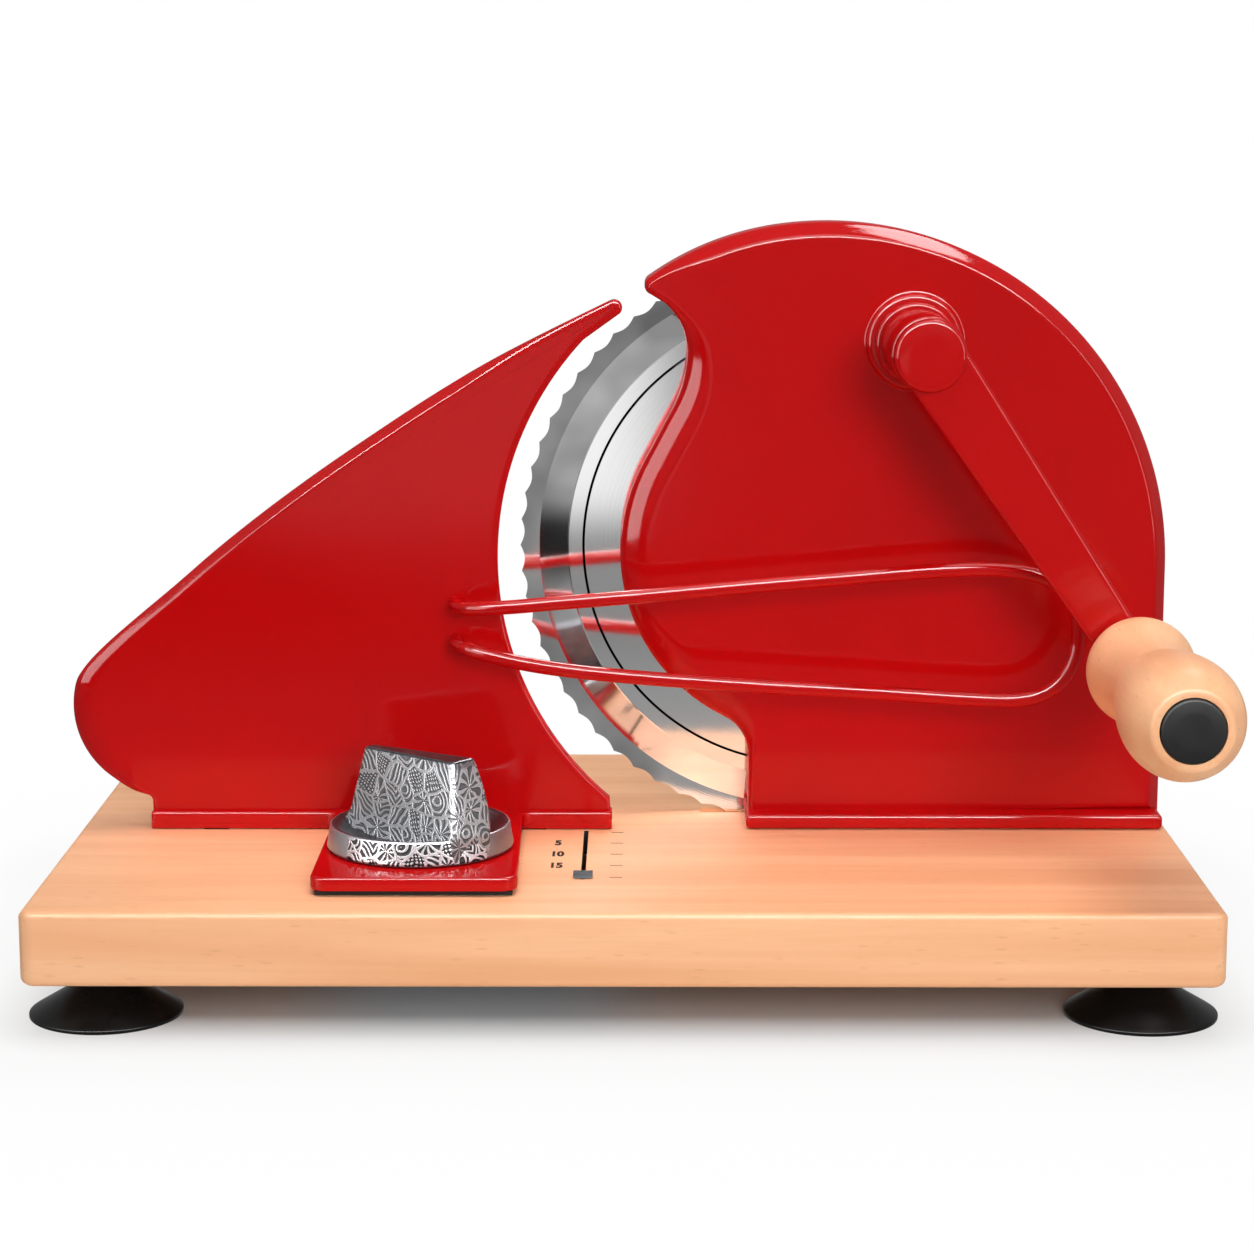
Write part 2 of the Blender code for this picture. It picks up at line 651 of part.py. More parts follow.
def pointer_slot():
    """The narrow slot along the scale, cut through to the mechanism."""
    half = POINTER_SLOT_WIDTH / 2
    front = POINTER_Y - POINTER_SIZE[1] / 2 - GAP
    back = POINTER_Y + POINTER_TRAVEL + POINTER_SIZE[1] / 2 + GAP
    return block("pointer_slot", (POINTER_X - half, front, CEILING_Z - EMBED),
                 (POINTER_X + half, back, EMBED))


def recess():
    """The hollow in the board's underside that holds the rack drive."""
    return block("mechanism_recess", (RECESS_LEFT, RECESS_FRONT_Y, -BOARD_THICKNESS - EMBED),
                 (RECESS_RIGHT, RECESS_BACK_Y, CEILING_Z))


def cover_rabbet():
    edge = COVER_LEDGE + GAP
    return block("cover_rabbet", (RECESS_LEFT - edge, RECESS_FRONT_Y - edge,
                                  -BOARD_THICKNESS - EMBED),
                 (RECESS_RIGHT + edge, RECESS_BACK_Y + edge, COVER_TOP_Z + GAP))


def make_feet(rubber, steel):
    """Four suction cups, each held by a threaded stud screwed into the board."""
    top = -BOARD_THICKNESS - GAP
    floor = -BOARD_TOP_Z
    bore = STUD_RADIUS + SHAFT_CLEARANCE
    bore_end = top - STUD_IN_FOOT - GAP
    neck = FOOT_NECK_RADIUS
    profile = [(0, bore_end), (bore, bore_end), (bore, top), (neck + 0.0012, top),
               (neck + 0.0012, top - 0.003), (neck, top - 0.0045),
               (neck + 0.0014, top - 0.0075), (neck + 0.006, top - 0.0108),
               (FOOT_RADIUS - 0.0012, floor + FOOT_RIM_THICKNESS + 0.0006),
               (FOOT_RADIUS, floor + FOOT_RIM_THICKNESS), (FOOT_RADIUS, floor),
               (FOOT_RADIUS - FOOT_RIM_WIDTH, floor), (neck + 0.0035, floor + 0.0024),
               (0, floor + 0.0034)]
    stud_profile = [(0, top + STUD_IN_BOARD), (STUD_RADIUS, top + STUD_IN_BOARD),
                    (STUD_RADIUS, bore_end + GAP), (0, bore_end + GAP)]
    for place_name, (x, y) in foot_places().items():
        foot = lathe_z(f"suction_foot_{place_name}", profile, x, y, 20)
        foot.data.materials.append(rubber)
        stud = lathe_z(f"foot_stud_{place_name}", stud_profile, x, y, 10)
        stud.data.materials.append(steel)


def gullet_side(wall):
    """The left edge of the housing as (x, z), from its beak down to its foot.

    wall moves the edge inwards: 0 gives the outside, and the wall's thickness the inside.
    It follows the blade's axis below, so that a slice falls clear in front of the blade.
    """
    leave = radians(GULLET_TOP_ANGLE)
    centre_out = GULLET_RADIUS + BEND_LOWER_RADIUS
    lower_x = BLADE_X + centre_out * cos(leave) + BEND_STRAIGHT * sin(leave)
    lower_z = BLADE_Z + centre_out * sin(leave) - BEND_STRAIGHT * cos(leave)
    upper_x = lower_x + BEND_LOWER_RADIUS - BEND_UPPER_RADIUS
    upper_end = BEND_CAVITY_ANGLE if wall else BEND_UPPER_ANGLE
    points = arc(upper_x, lower_z, BEND_UPPER_RADIUS + wall, upper_end, 0, 4)
    points += arc(lower_x, lower_z, BEND_LOWER_RADIUS + wall, 0, GULLET_TOP_ANGLE - 180, 3)[1:-1]
    points += arc(BLADE_X, BLADE_Z, GULLET_RADIUS - wall, GULLET_TOP_ANGLE, GULLET_FOOT_ANGLE, 11)
    fillet_x, fillet_z = foot_fillet_centre()
    points += arc(fillet_x, fillet_z, FOOT_FILLET_RADIUS + wall, GULLET_FOOT_ANGLE - 180, 0, 3)[1:]
    return points


def foot_fillet_centre():
    reach = GULLET_RADIUS + FOOT_FILLET_RADIUS
    angle = radians(GULLET_FOOT_ANGLE)
    return BLADE_X + reach * cos(angle), BLADE_Z + reach * sin(angle)


def housing_foot_left():
    return foot_fillet_centre()[0] + FOOT_FILLET_RADIUS


def housing_outline(bottom):
    """The housing from the front: a round back, a beak at the top left and the gullet."""
    cx, cz, radius = HOUSING_CENTRE_X, HOUSING_CENTRE_Z, HOUSING_RADIUS
    beak_x = cx + (radius - BEAK_RADIUS - BEAK_DIP) * cos(radians(BEAK_ANGLE))
    beak_z = cz + (radius - BEAK_RADIUS - BEAK_DIP) * sin(radians(BEAK_ANGLE))
    beak = arc(beak_x, beak_z, BEAK_RADIUS, BEAK_TOP_ANGLE, BEAK_UNDER_ANGLE, 5)
    gullet = gullet_side(0)
    points = [(cx + radius, bottom)]
    points += arc(cx, cz, radius, 0, BACK_END_ANGLE, 20)
    points += bulged(points[-1], beak[0], -BEAK_BULGE, 5) + beak
    points += bulged(points[-1], gullet[0], 0.0004, 2)
    points += gullet
    points.append((housing_foot_left(), bottom))
    return points


def cavity_outline(wall, bottom):
    """The inside of the housing, which leaves the beak solid."""
    cx, cz, radius = HOUSING_CENTRE_X, HOUSING_CENTRE_Z, HOUSING_RADIUS - wall
    gullet = gullet_side(wall)
    top = degrees(acos((gullet[0][0] + BEAK_SOLID - cx) / radius))
    points = [(cx + radius, bottom)]
    points += arc(cx, cz, radius, 0, top, 18)
    points += gullet
    points.append((housing_foot_left() + wall, bottom))
    return points


def surround_screw_places():
    """Screw centres, halfway between the blade and the housing's wall."""
    inside = HOUSING_RADIUS - HOUSING_WALL
    hole = BLADE_RADIUS + BLADE_RUNNING_GAP
    dx, dz = HOUSING_CENTRE_X - BLADE_X, HOUSING_CENTRE_Z - BLADE_Z
    places = []
    for angle in SURROUND_SCREW_ANGLES:
        ux, uz = cos(radians(angle)), sin(radians(angle))
        along = dx * ux + dz * uz
        wall = along + sqrt(inside ** 2 - (dx * dx + dz * dz - along ** 2))
        middle = (hole + wall) / 2
        places.append((BLADE_X + middle * ux, BLADE_Z + middle * uz))
    return places


def make_housing(enamel):
    """The cast housing: a shell with bosses for the blade's axle and the crank's bush."""
    middle_y = (HOUSING_FACE_Y + BLADE_FACE_Y) / 2
    housing = slab("gear_housing", [housing_outline(2 * EMBED)], HOUSING_DEPTH,
                   place(0, middle_y, 0), standing=True)
    shape = bmesh.new()
    shape.from_mesh(housing.data)
    front = [e for e in shape.edges if all(v.co.z > HOUSING_DEPTH / 2 - 1e-5 for v in e.verts)
             and e.calc_face_angle(0) > radians(60)]
    bmesh.ops.bevel(shape, geom=front, offset=HOUSING_EDGE_ROUND, segments=2, profile=0.5,
                    affect="EDGES", clamp_overlap=True)
    shape.to_mesh(housing.data)
    shape.free()

    cavity_depth = HOUSING_DEPTH - HOUSING_WALL + EMBED
    cut(housing, slab("housing_cavity", [cavity_outline(HOUSING_WALL, HOUSING_FLOOR)],
                      cavity_depth, place(0, CAVITY_FRONT_Y + cavity_depth / 2, 0),
                      standing=True))
    boss = BUSH_RADIUS + BOSS_WALL
    front, ring = ESCUTCHEON_FRONT_Y, ESCUTCHEON_RADIUS
    escutcheon = lathe_y("escutcheon", [
        (0, front), (ring - 0.0016, front), (ring - 0.0005, front + 0.0005),
        (ring, front + 0.0016), (ring, HOUSING_FACE_Y + EMBED),
        (0, HOUSING_FACE_Y + EMBED)], CRANK_X, CRANK_Z)
    join(housing, escutcheon,
         rod("crank_boss", boss, (CRANK_X, CAVITY_FRONT_Y - EMBED, CRANK_Z),
             (CRANK_X, BOSS_END_Y, CRANK_Z)),
         rod("blade_boss", boss, (BLADE_X, CAVITY_FRONT_Y - EMBED, BLADE_Z),
             (BLADE_X, BOSS_END_Y, BLADE_Z)),
         block("housing_flange",
               (housing_foot_left() - EMBED, HOUSING_FACE_Y - FLANGE_REACH, GAP),
               (HOUSING_CENTRE_X + HOUSING_RADIUS - EMBED, BLADE_FACE_Y - EMBED,
                FLANGE_THICKNESS), FLANGE_EDGE_ROUND))
    for index, (x, y) in enumerate(housing_screw_places()):
        join(housing, rod(f"foot_boss_{index}", HOUSING_SCREW_RADIUS + BOSS_WALL,
                          (x, y, FLANGE_THICKNESS - EMBED), (x, y, FOOT_BOSS_HEIGHT), 12))
    for index, (x, z) in enumerate(surround_screw_places()):
        join(housing, rod(f"surround_boss_{index}", SURROUND_BOSS_RADIUS,
                          (x, CAVITY_FRONT_Y - EMBED, z), (x, SURROUND_FRONT_Y - GAP, z), 12))
        cut(housing, rod(f"surround_hole_{index}", SCREW_RADIUS + SHAFT_CLEARANCE,
                         (x, CAVITY_FRONT_Y + EMBED, z), (x, SURROUND_FRONT_Y, z), 8))
    cut(housing,
        rod("crank_bore", BUSH_RADIUS + SHAFT_CLEARANCE,
            (CRANK_X, ESCUTCHEON_FRONT_Y - EMBED, CRANK_Z),
            (CRANK_X, BOSS_END_Y + EMBED, CRANK_Z)),
        rod("axle_bore", SHAFT_RADIUS + SHAFT_CLEARANCE,
            (BLADE_X, HOUSING_FACE_Y + AXLE_BLIND_WALL, BLADE_Z),
            (BLADE_X, BOSS_END_Y + EMBED, BLADE_Z)),
        rod("blade_room", BLADE_RADIUS + BLADE_RUNNING_GAP,
            (BLADE_X, BLADE_FRONT_Y - 2 * GAP, BLADE_Z),
            (BLADE_X, BLADE_FACE_Y + EMBED, BLADE_Z), 64))
    for index, (x, y) in enumerate(housing_screw_places()):
        cut(housing, rod(f"foot_boss_hole_{index}", HOUSING_SCREW_RADIUS + SHAFT_CLEARANCE,
                         (x, y, -EMBED), (x, y, FOOT_BOSS_HEIGHT - 2 * EMBED), 10))
    housing.data.materials.append(enamel)
    return housing


def make_surround(enamel, steel):
    """The plate round the blade, flush with it, that closes the housing for the loaf."""
    front = SURROUND_FRONT_Y
    outline = cavity_outline(HOUSING_WALL + GAP, HOUSING_FLOOR + GAP)
    plate = slab("blade_surround_plate", [outline], SURROUND_THICKNESS,
                 place(0, (front + BLADE_FACE_Y) / 2, 0), standing=True)
    cut(plate, rod("blade_opening", BLADE_RADIUS + BLADE_RUNNING_GAP,
                   (BLADE_X, front - EMBED, BLADE_Z),
                   (BLADE_X, BLADE_FACE_Y + EMBED, BLADE_Z), 64))
    head, head_back = SURROUND_HEAD_RADIUS, BLADE_FACE_Y - GAP / 2
    head_front = head_back - SURROUND_HEAD_HEIGHT
    screw_front = CAVITY_FRONT_Y + EMBED + GAP
    for index, (x, z) in enumerate(surround_screw_places()):
        cut(plate, rod(f"surround_clearance_{index}", SCREW_RADIUS + SHAFT_CLEARANCE,
                       (x, front - EMBED, z), (x, BLADE_FACE_Y, z), 8),
            rod(f"surround_head_room_{index}", head + SHAFT_CLEARANCE,
                (x, head_front - GAP, z), (x, BLADE_FACE_Y + EMBED, z), 12))
        profile = [(0, screw_front), (SCREW_RADIUS, screw_front), (SCREW_RADIUS, head_front),
                   (head, head_front), (head, head_back), (0, head_back)]
        made = lathe_y(f"surround_screw_{index + 1}", profile, x, z, 10)
        made.data.materials.append(steel)
    plate.data.materials.append(enamel)


def scalloped_edge():
    """The blade's cutting edge: hollow scallops between pointed teeth."""
    count = BLADE_SCALLOPS * STEPS_PER_SCALLOP
    points = []
    for i in range(count):
        angle = 2 * pi * i / count
        radius = BLADE_RADIUS - BLADE_SCALLOP_DEPTH * abs(sin(BLADE_SCALLOPS * angle / 2))
        points.append((radius * cos(angle), radius * sin(angle)))
    return points


def make_blade(steel, gear_plastic, brass, spring_steel):
    """The blade with the gear that drives it, turning on a fixed axle."""
    blade = slab("blade", [scalloped_edge(), circle(0, 0, BLADE_HOLE_RADIUS, 24)],
                 BLADE_THICKNESS, place(BLADE_X, BLADE_FACE_Y - BLADE_THICKNESS / 2, BLADE_Z),
                 standing=True)
    for vertex in blade.data.vertices:
        radius = hypot(vertex.co.x, vertex.co.y)
        if vertex.co.z > 0 and radius > BLADE_RADIUS / 2:
            scale = (BLADE_RADIUS - BLADE_BEVEL_WIDTH) / radius
            vertex.co.x *= scale
            vertex.co.y *= scale
    hub_front = BOSS_END_Y + GAP
    flange_front = GEAR_BACK_Y + GAP
    bore = BUSH_RADIUS + SHAFT_CLEARANCE
    nose = bore + HUB_WALL
    gear = slab("blade_gear", [gear_outline(BLADE_GEAR_TEETH, GEAR_MODULE,
                                            radians(CRANK_DIRECTION)),
                               circle(0, 0, bore + 0.002, 20)],
                GEAR_WIDTH, place(BLADE_X, GEAR_FRONT_Y + GEAR_WIDTH / 2, BLADE_Z),
                standing=True)
    join(gear, lathe_y("blade_hub", [
        (bore, hub_front), (bore + 2 * HUB_WALL, hub_front),
        (bore + 2 * HUB_WALL, flange_front), (BLADE_SEAT_RADIUS, flange_front),
        (BLADE_SEAT_RADIUS, BLADE_FRONT_Y - GAP), (nose, BLADE_FRONT_Y - GAP),
        (nose, BLADE_FACE_Y - GAP), (bore, BLADE_FACE_Y - GAP)],
        BLADE_X, BLADE_Z, 24, bored=True))
    ring = (BLADE_HOLE_RADIUS + BLADE_SEAT_RADIUS) / 2
    rivet = RIVET_RADIUS
    rivet_front = BLADE_FRONT_Y - 0.6 * GEAR_TO_BLADE
    rivet_top = BLADE_FACE_Y + 3 * GAP
    for index, angle in enumerate((90, 210, 330)):
        x = BLADE_X + ring * cos(radians(angle))
        z = BLADE_Z + ring * sin(radians(angle))
        hole = rod(f"rivet_hole_{index}", rivet + SHAFT_CLEARANCE,
                   (x, rivet_front - GAP, z), (x, BLADE_FACE_Y + EMBED, z), 8)
        cut(gear, hole)
        cut_again(blade, hole)
        made = lathe_y(f"blade_rivet_{index + 1}", [
            (0, rivet_front), (rivet, rivet_front), (rivet, BLADE_FACE_Y + GAP),
            (rivet * 2, BLADE_FACE_Y + GAP), (rivet * 1.4, rivet_top), (0, rivet_top)], x, z, 8)
        made.data.materials.append(steel)
    bush = lathe_y("blade_bush", [
        (SHAFT_RADIUS + SHAFT_CLEARANCE, hub_front), (BUSH_RADIUS, hub_front),
        (BUSH_RADIUS, BLADE_FACE_Y - GAP), (SHAFT_RADIUS + SHAFT_CLEARANCE, BLADE_FACE_Y - GAP)],
        BLADE_X, BLADE_Z, 24, bored=True)
    axle_front = HOUSING_FACE_Y + AXLE_BLIND_WALL + GAP
    thread, thread_front = BLADE_SCREW_RADIUS, BLADE_FACE_Y - BLADE_SCREW_LENGTH
    axle = lathe_y("blade_axle", [
        (0, axle_front), (SHAFT_RADIUS, axle_front), (SHAFT_RADIUS, BLADE_FACE_Y - GAP),
        (thread + GAP, BLADE_FACE_Y - GAP), (thread + GAP, thread_front - GAP),
        (0, thread_front - GAP)], BLADE_X, BLADE_Z, 24)
    head, head_top = bore + HUB_WALL - 0.0005, BLADE_FACE_Y + 0.0013
    bolt = lathe_y("blade_screw", [
        (0, thread_front), (thread, thread_front), (thread, BLADE_FACE_Y + GAP),
        (head, BLADE_FACE_Y + GAP), (head, head_top - 0.0006), (head - 0.001, head_top),
        (0, head_top)], BLADE_X, BLADE_Z, 24)
    blade.data.materials.append(steel)
    gear.data.materials.append(gear_plastic)
    bush.data.materials.append(brass)
    axle.data.materials.append(spring_steel)
    bolt.data.materials.append(spring_steel)


def make_crank(enamel, steel, brass, gear_plastic):
    """The crank: its shaft, gear, bush, collar, arm and cap, and the pin of the grip."""
    bore = SHAFT_RADIUS + SHAFT_CLEARANCE
    hub_front = BOSS_END_Y + GAP
    clip_front = GEAR_BACK_Y + 2 * GAP
    gear = slab("crank_gear", [gear_outline(CRANK_GEAR_TEETH, GEAR_MODULE,
                                            radians(CRANK_DIRECTION + 180)
                                            + pi / CRANK_GEAR_TEETH),
                               circle(0, 0, bore + 0.0015, 16)],
                GEAR_WIDTH, place(CRANK_X, GEAR_FRONT_Y + GEAR_WIDTH / 2, CRANK_Z),
                standing=True)
    join(gear, lathe_y("crank_gear_hub", [
        (bore, hub_front), (bore + 1.5 * BUSH_WALL, hub_front),
        (bore + 1.5 * BUSH_WALL, GEAR_BACK_Y + GAP), (bore, GEAR_BACK_Y + GAP)],
        CRANK_X, CRANK_Z, 20, bored=True))
    shaft_back = BLADE_FRONT_Y - EMBED
    shaft = lathe_y("crank_shaft", [
        (0, ARM_FRONT_Y + GAP), (SHAFT_RADIUS, ARM_FRONT_Y + GAP), (SHAFT_RADIUS, shaft_back),
        (0, shaft_back)], CRANK_X, CRANK_Z, 24)
    clip = lathe_y("shaft_clip", [
        (bore, clip_front), (BUSH_RADIUS, clip_front), (BUSH_RADIUS, clip_front + EMBED),
        (bore, clip_front + EMBED)], CRANK_X, CRANK_Z, 20, bored=True)
    bush = lathe_y("crank_bush", [
        (bore, ESCUTCHEON_FRONT_Y), (BUSH_RADIUS, ESCUTCHEON_FRONT_Y),
        (BUSH_RADIUS, BOSS_END_Y), (bore, BOSS_END_Y)], CRANK_X, CRANK_Z, 24, bored=True)
    collar = lathe_y("crank_collar", [
        (bore, COLLAR_FRONT_Y), (COLLAR_RADIUS - 0.001, COLLAR_FRONT_Y),
        (COLLAR_RADIUS, COLLAR_FRONT_Y + 0.001), (COLLAR_RADIUS, COLLAR_BACK_Y),
        (bore, COLLAR_BACK_Y)], CRANK_X, CRANK_Z, bored=True)

    half_hub, half_grip = ARM_WIDTH_HUB / 2, ARM_WIDTH_GRIP / 2
    heading = atan2(-CRANK_DROP, CRANK_LENGTH_X)
    reach = hypot(CRANK_DROP, CRANK_LENGTH_X)
    lean = degrees((half_hub - half_grip) / reach)
    outline = []
    for x, y in (arc(0, 0, half_hub, 90 - lean, 270 + lean, 6)
                 + arc(reach, 0, half_grip, -90 + lean, 90 - lean, 6)):
        outline.append((x * cos(heading) - y * sin(heading),
                        x * sin(heading) + y * cos(heading)))
    arm = slab("crank_arm", [outline], ARM_THICKNESS,
               place(CRANK_X, ARM_FRONT_Y + ARM_THICKNESS / 2, CRANK_Z), standing=True)
    bevel(arm, ARM_EDGE_ROUND, 2)
    join(arm, lathe_y("arm_hub", [
        (0, ARM_FRONT_Y), (HUB_RADIUS - 0.001, ARM_FRONT_Y), (HUB_RADIUS, ARM_FRONT_Y + 0.001),
        (HUB_RADIUS, COLLAR_FRONT_Y - GAP), (0, COLLAR_FRONT_Y - GAP)], CRANK_X, CRANK_Z))
    cut(arm, rod("arm_bore", bore, (CRANK_X, ARM_FRONT_Y - EMBED, CRANK_Z),
                 (CRANK_X, COLLAR_FRONT_Y + EMBED, CRANK_Z)),
        rod("pin_bore", GRIP_PIN_RADIUS + SHAFT_CLEARANCE, (GRIP_X, ARM_FRONT_Y - EMBED, GRIP_Z),
            (GRIP_X, ARM_BACK_Y + EMBED, GRIP_Z), 20))
    cap_front = ARM_FRONT_Y - GAP - CAP_THICKNESS
    cap = lathe_y("crank_cap", [
        (0, cap_front), (CAP_RADIUS - 0.0015, cap_front),
        (CAP_RADIUS - 0.0004, cap_front + 0.0006),
        (CAP_RADIUS, cap_front + 0.0018), (CAP_RADIUS, ARM_FRONT_Y - GAP),
        (0, ARM_FRONT_Y - GAP)], CRANK_X, CRANK_Z)
    for item in (arm, collar, cap):
        item.data.materials.append(enamel)
    shaft.data.materials.append(steel)
    clip.data.materials.append(steel)
    bush.data.materials.append(brass)
    gear.data.materials.append(gear_plastic)


def make_grip(wood, steel, plug_plastic):
    """The wooden grip, free to turn on a pin through the end of the crank arm."""
    bore = GRIP_PIN_RADIUS + SHAFT_CLEARANCE
    seat_y = GRIP_FRONT_Y + PLUG_SEAT
    room_y = seat_y + NUT_DEPTH
    nut_radius = GRIP_PIN_RADIUS + NUT_WALL
    nut_room = nut_radius + NUT_ROOM
    pin_front = room_y - 2 * GAP - NUT_WIDTH - 2 * GAP
    pin_head = GRIP_PIN_RADIUS + PIN_HEAD_WIDTH
    pin_back = ARM_BACK_Y + PIN_HEAD_WIDTH
    stations = [(0.0, PLUG_RADIUS + 0.0015), (0.02, 0.72 * GRIP_BELLY_RADIUS),
                (0.07, 0.88 * GRIP_BELLY_RADIUS), (0.19, GRIP_BELLY_RADIUS),
                (0.33, 0.95 * GRIP_BELLY_RADIUS),
                (0.49, (GRIP_BELLY_RADIUS + 1.4 * GRIP_WAIST_RADIUS) / 2.4),
                (0.62, GRIP_WAIST_RADIUS), (0.74, 1.08 * GRIP_WAIST_RADIUS),
                (0.86, GRIP_SHOULDER_RADIUS), (0.94, 0.93 * GRIP_SHOULDER_RADIUS),
                (0.985, 0.75 * GRIP_SHOULDER_RADIUS), (1.0, 0.6 * GRIP_SHOULDER_RADIUS)]
    profile = [(nut_room, seat_y), (PLUG_RADIUS + GAP, seat_y), (PLUG_RADIUS + GAP, GRIP_FRONT_Y)]
    profile += [(radius, GRIP_FRONT_Y + t * GRIP_LENGTH) for t, radius in stations]
    profile += [(bore, GRIP_BACK_Y), (bore, room_y), (nut_room, room_y)]
    grip = lathe_y("wooden_grip", profile, GRIP_X, GRIP_Z, 22, bored=True)
    plug = lathe_y("grip_plug", [
        (0, PLUG_FRONT_Y), (PLUG_RADIUS * 0.6, PLUG_FRONT_Y + 0.0003),
        (PLUG_RADIUS * 0.92, PLUG_FRONT_Y + 0.0009), (PLUG_RADIUS, GRIP_FRONT_Y),
        (PLUG_RADIUS, seat_y - GAP), (0, seat_y - GAP)], GRIP_X, GRIP_Z, 24)
    nut = slab("grip_nut", [circle(0, 0, nut_radius, 6), circle(0, 0, bore, 20)], NUT_WIDTH,
               place(GRIP_X, room_y - GAP - NUT_WIDTH / 2, GRIP_Z), standing=True)
    pin = lathe_y("grip_pin", [
        (0, pin_front), (GRIP_PIN_RADIUS, pin_front), (GRIP_PIN_RADIUS, ARM_BACK_Y + GAP),
        (pin_head, ARM_BACK_Y + GAP), (pin_head, pin_back - 0.0008),
        (GRIP_PIN_RADIUS, pin_back), (0, pin_back)], GRIP_X, GRIP_Z, 20)
    grip.data.materials.append(wood)
    plug.data.materials.append(plug_plastic)
    nut.data.materials.append(steel)
    pin.data.materials.append(steel)


def plate_outline():
    """The stop plate from the front: its right edge keeps clear of the blade all the way."""
    radius, tip = PLATE_ARC_RADIUS, PLATE_TIP_RADIUS
    low_angle = 180 + degrees(asin(PLATE_ARC_DROP / radius))
    reach = radius + tip - PLATE_TIP_LEAN
    tip_x = PLATE_ARC_X + reach * cos(radians(PLATE_TIP_ANGLE))
    tip_z = PLATE_ARC_Z + reach * sin(radians(PLATE_TIP_ANGLE))
    nose_x, nose_z = PLATE_FOOT_LEFT + PLATE_NOSE_X, PLATE_NOSE_Z
    shoulder = (nose_x - 0.0061, nose_z + 0.0312)
    points = [(PLATE_FOOT_LEFT + GAP, 2 * EMBED), (PLATE_RIGHT - GAP, 2 * EMBED)]
    points += arc(PLATE_ARC_X, PLATE_ARC_Z, radius, low_angle, PLATE_ARC_END_ANGLE, 13)
    points += arc(tip_x, tip_z, tip, -42, 118, 5)
    points += bulged(points[-1], shoulder, -PLATE_BULGE, 8)
    points += [shoulder, (nose_x - 0.0165, nose_z + 0.0227), (nose_x - 0.0219, nose_z + 0.0172),
               (nose_x - 0.0262, nose_z + 0.0120)]
    points += arc(nose_x, nose_z, PLATE_NOSE_RADIUS, 166, 258, 7)
    points.append((PLATE_FOOT_LEFT + EMBED, FLANGE_THICKNESS + 0.0035))
    return points


def make_plate(enamel, pad_plastic, brass, steel):
    """The stop plate with its foot and tongue in one casting, and what is fixed to it."""
    middle_y = (PLATE_FRONT_Y + PLATE_BACK_Y) / 2
    plate = slab("thickness_plate", [plate_outline()], PLATE_THICKNESS,
                 place(0, middle_y, 0), standing=True)
    bevel(plate, PLATE_EDGE_ROUND, 2)
    flange = block("plate_flange", (PLATE_FOOT_LEFT, PLATE_FOOT_FRONT_Y, GAP),
                   (PLATE_RIGHT, PLATE_BACK_Y - GAP, FLANGE_THICKNESS), FLANGE_EDGE_ROUND)
    left, right = TONGUE_LEFT, TONGUE_RIGHT
    front, back = TONGUE_FRONT_Y, PLATE_FOOT_FRONT_Y + EMBED
    corner, fillet = TONGUE_CORNER, TONGUE_FILLET
    outline = arc(left + corner, front + corner, corner, 180, 270, 3)
    outline += arc(right - corner, front + corner, corner, 270, 360, 3)
    outline += arc(right + fillet, back - fillet, fillet, 180, 90, 3)
    outline += [(right + fillet, back + fillet), (left - fillet, back + fillet)]
    outline += arc(left - fillet, back - fillet, fillet, 90, 0, 3)
    tongue = slab("plate_tongue", [outline], TONGUE_THICKNESS,
                  place(0, 0, TONGUE_BOTTOM_Z + TONGUE_THICKNESS / 2))
    bevel(tongue, FLANGE_EDGE_ROUND, 2)
    join(plate, flange, tongue)
    bush_radius = SPINDLE_BUSH_RADIUS
    bush_hole = rod("spindle_bush_hole", bush_radius + SHAFT_CLEARANCE,
                    (KNOB_X, KNOB_Y, -EMBED), (KNOB_X, KNOB_Y, TONGUE_TOP_Z + EMBED))
    cut(plate, bush_hole)
    for index, z in enumerate(WIRE_END_ZS):
        cut(plate, rod(f"wire_socket_{index}", WIRE_RADIUS + SHAFT_CLEARANCE,
                       (WIRE_ENDS_X, PLATE_FRONT_Y - EMBED, z),
                       (WIRE_ENDS_X, PLATE_FRONT_Y + WIRE_SEAT + GAP, z), 12))
    pad = block("glide_pad", (left + PAD_INSET, front + PAD_INSET, GAP),
                (right - PAD_INSET, PLATE_FOOT_FRONT_Y - GAP, GAP + PAD_THICKNESS))
    cut_again(pad, bush_hole)
    bore = SPINDLE_RADIUS + SHAFT_CLEARANCE
    bush = lathe_z("spindle_bush", [(bore, TONGUE_TOP_Z), (bush_radius, TONGUE_TOP_Z),
                                    (bush_radius, GAP), (bore, GAP)],
                   KNOB_X, KNOB_Y, 24, bored=True)
    key_y = PLATE_FOOT_FRONT_Y + 2 * GAP + KEY_LENGTH / 2
    half_width, half_length = KEY_WIDTH / 2, KEY_LENGTH / 2
    head_z = SCREW_HEAD_HEIGHT - KEY_DEPTH
    for index, x in enumerate(KEY_XS):
        key = block(f"guide_key_{index + 1}", (x - half_width, key_y - half_length, -KEY_DEPTH),
                    (x + half_width, key_y + half_length, 0))
        hole = rod(f"key_hole_{index}", SCREW_RADIUS + SHAFT_CLEARANCE,
                   (x, key_y, -KEY_DEPTH - EMBED), (x, key_y, KEY_SCREW_GRIP + GAP), 8)
        cut(plate, hole)
        cut_again(key, hole)
        cut(key, rod(f"key_counterbore_{index}", SCREW_HEAD_RADIUS + SHAFT_CLEARANCE,
                     (x, key_y, -KEY_DEPTH - EMBED), (x, key_y, head_z + GAP), 10))
        key.data.materials.append(pad_plastic)
        made = screw(f"key_screw_{index + 1}", x, key_y, head_z, KEY_SCREW_GRIP - head_z)
        made.data.materials.append(steel)
    plate.data.materials.append(enamel)
    pad.data.materials.append(pad_plastic)
    bush.data.materials.append(brass)


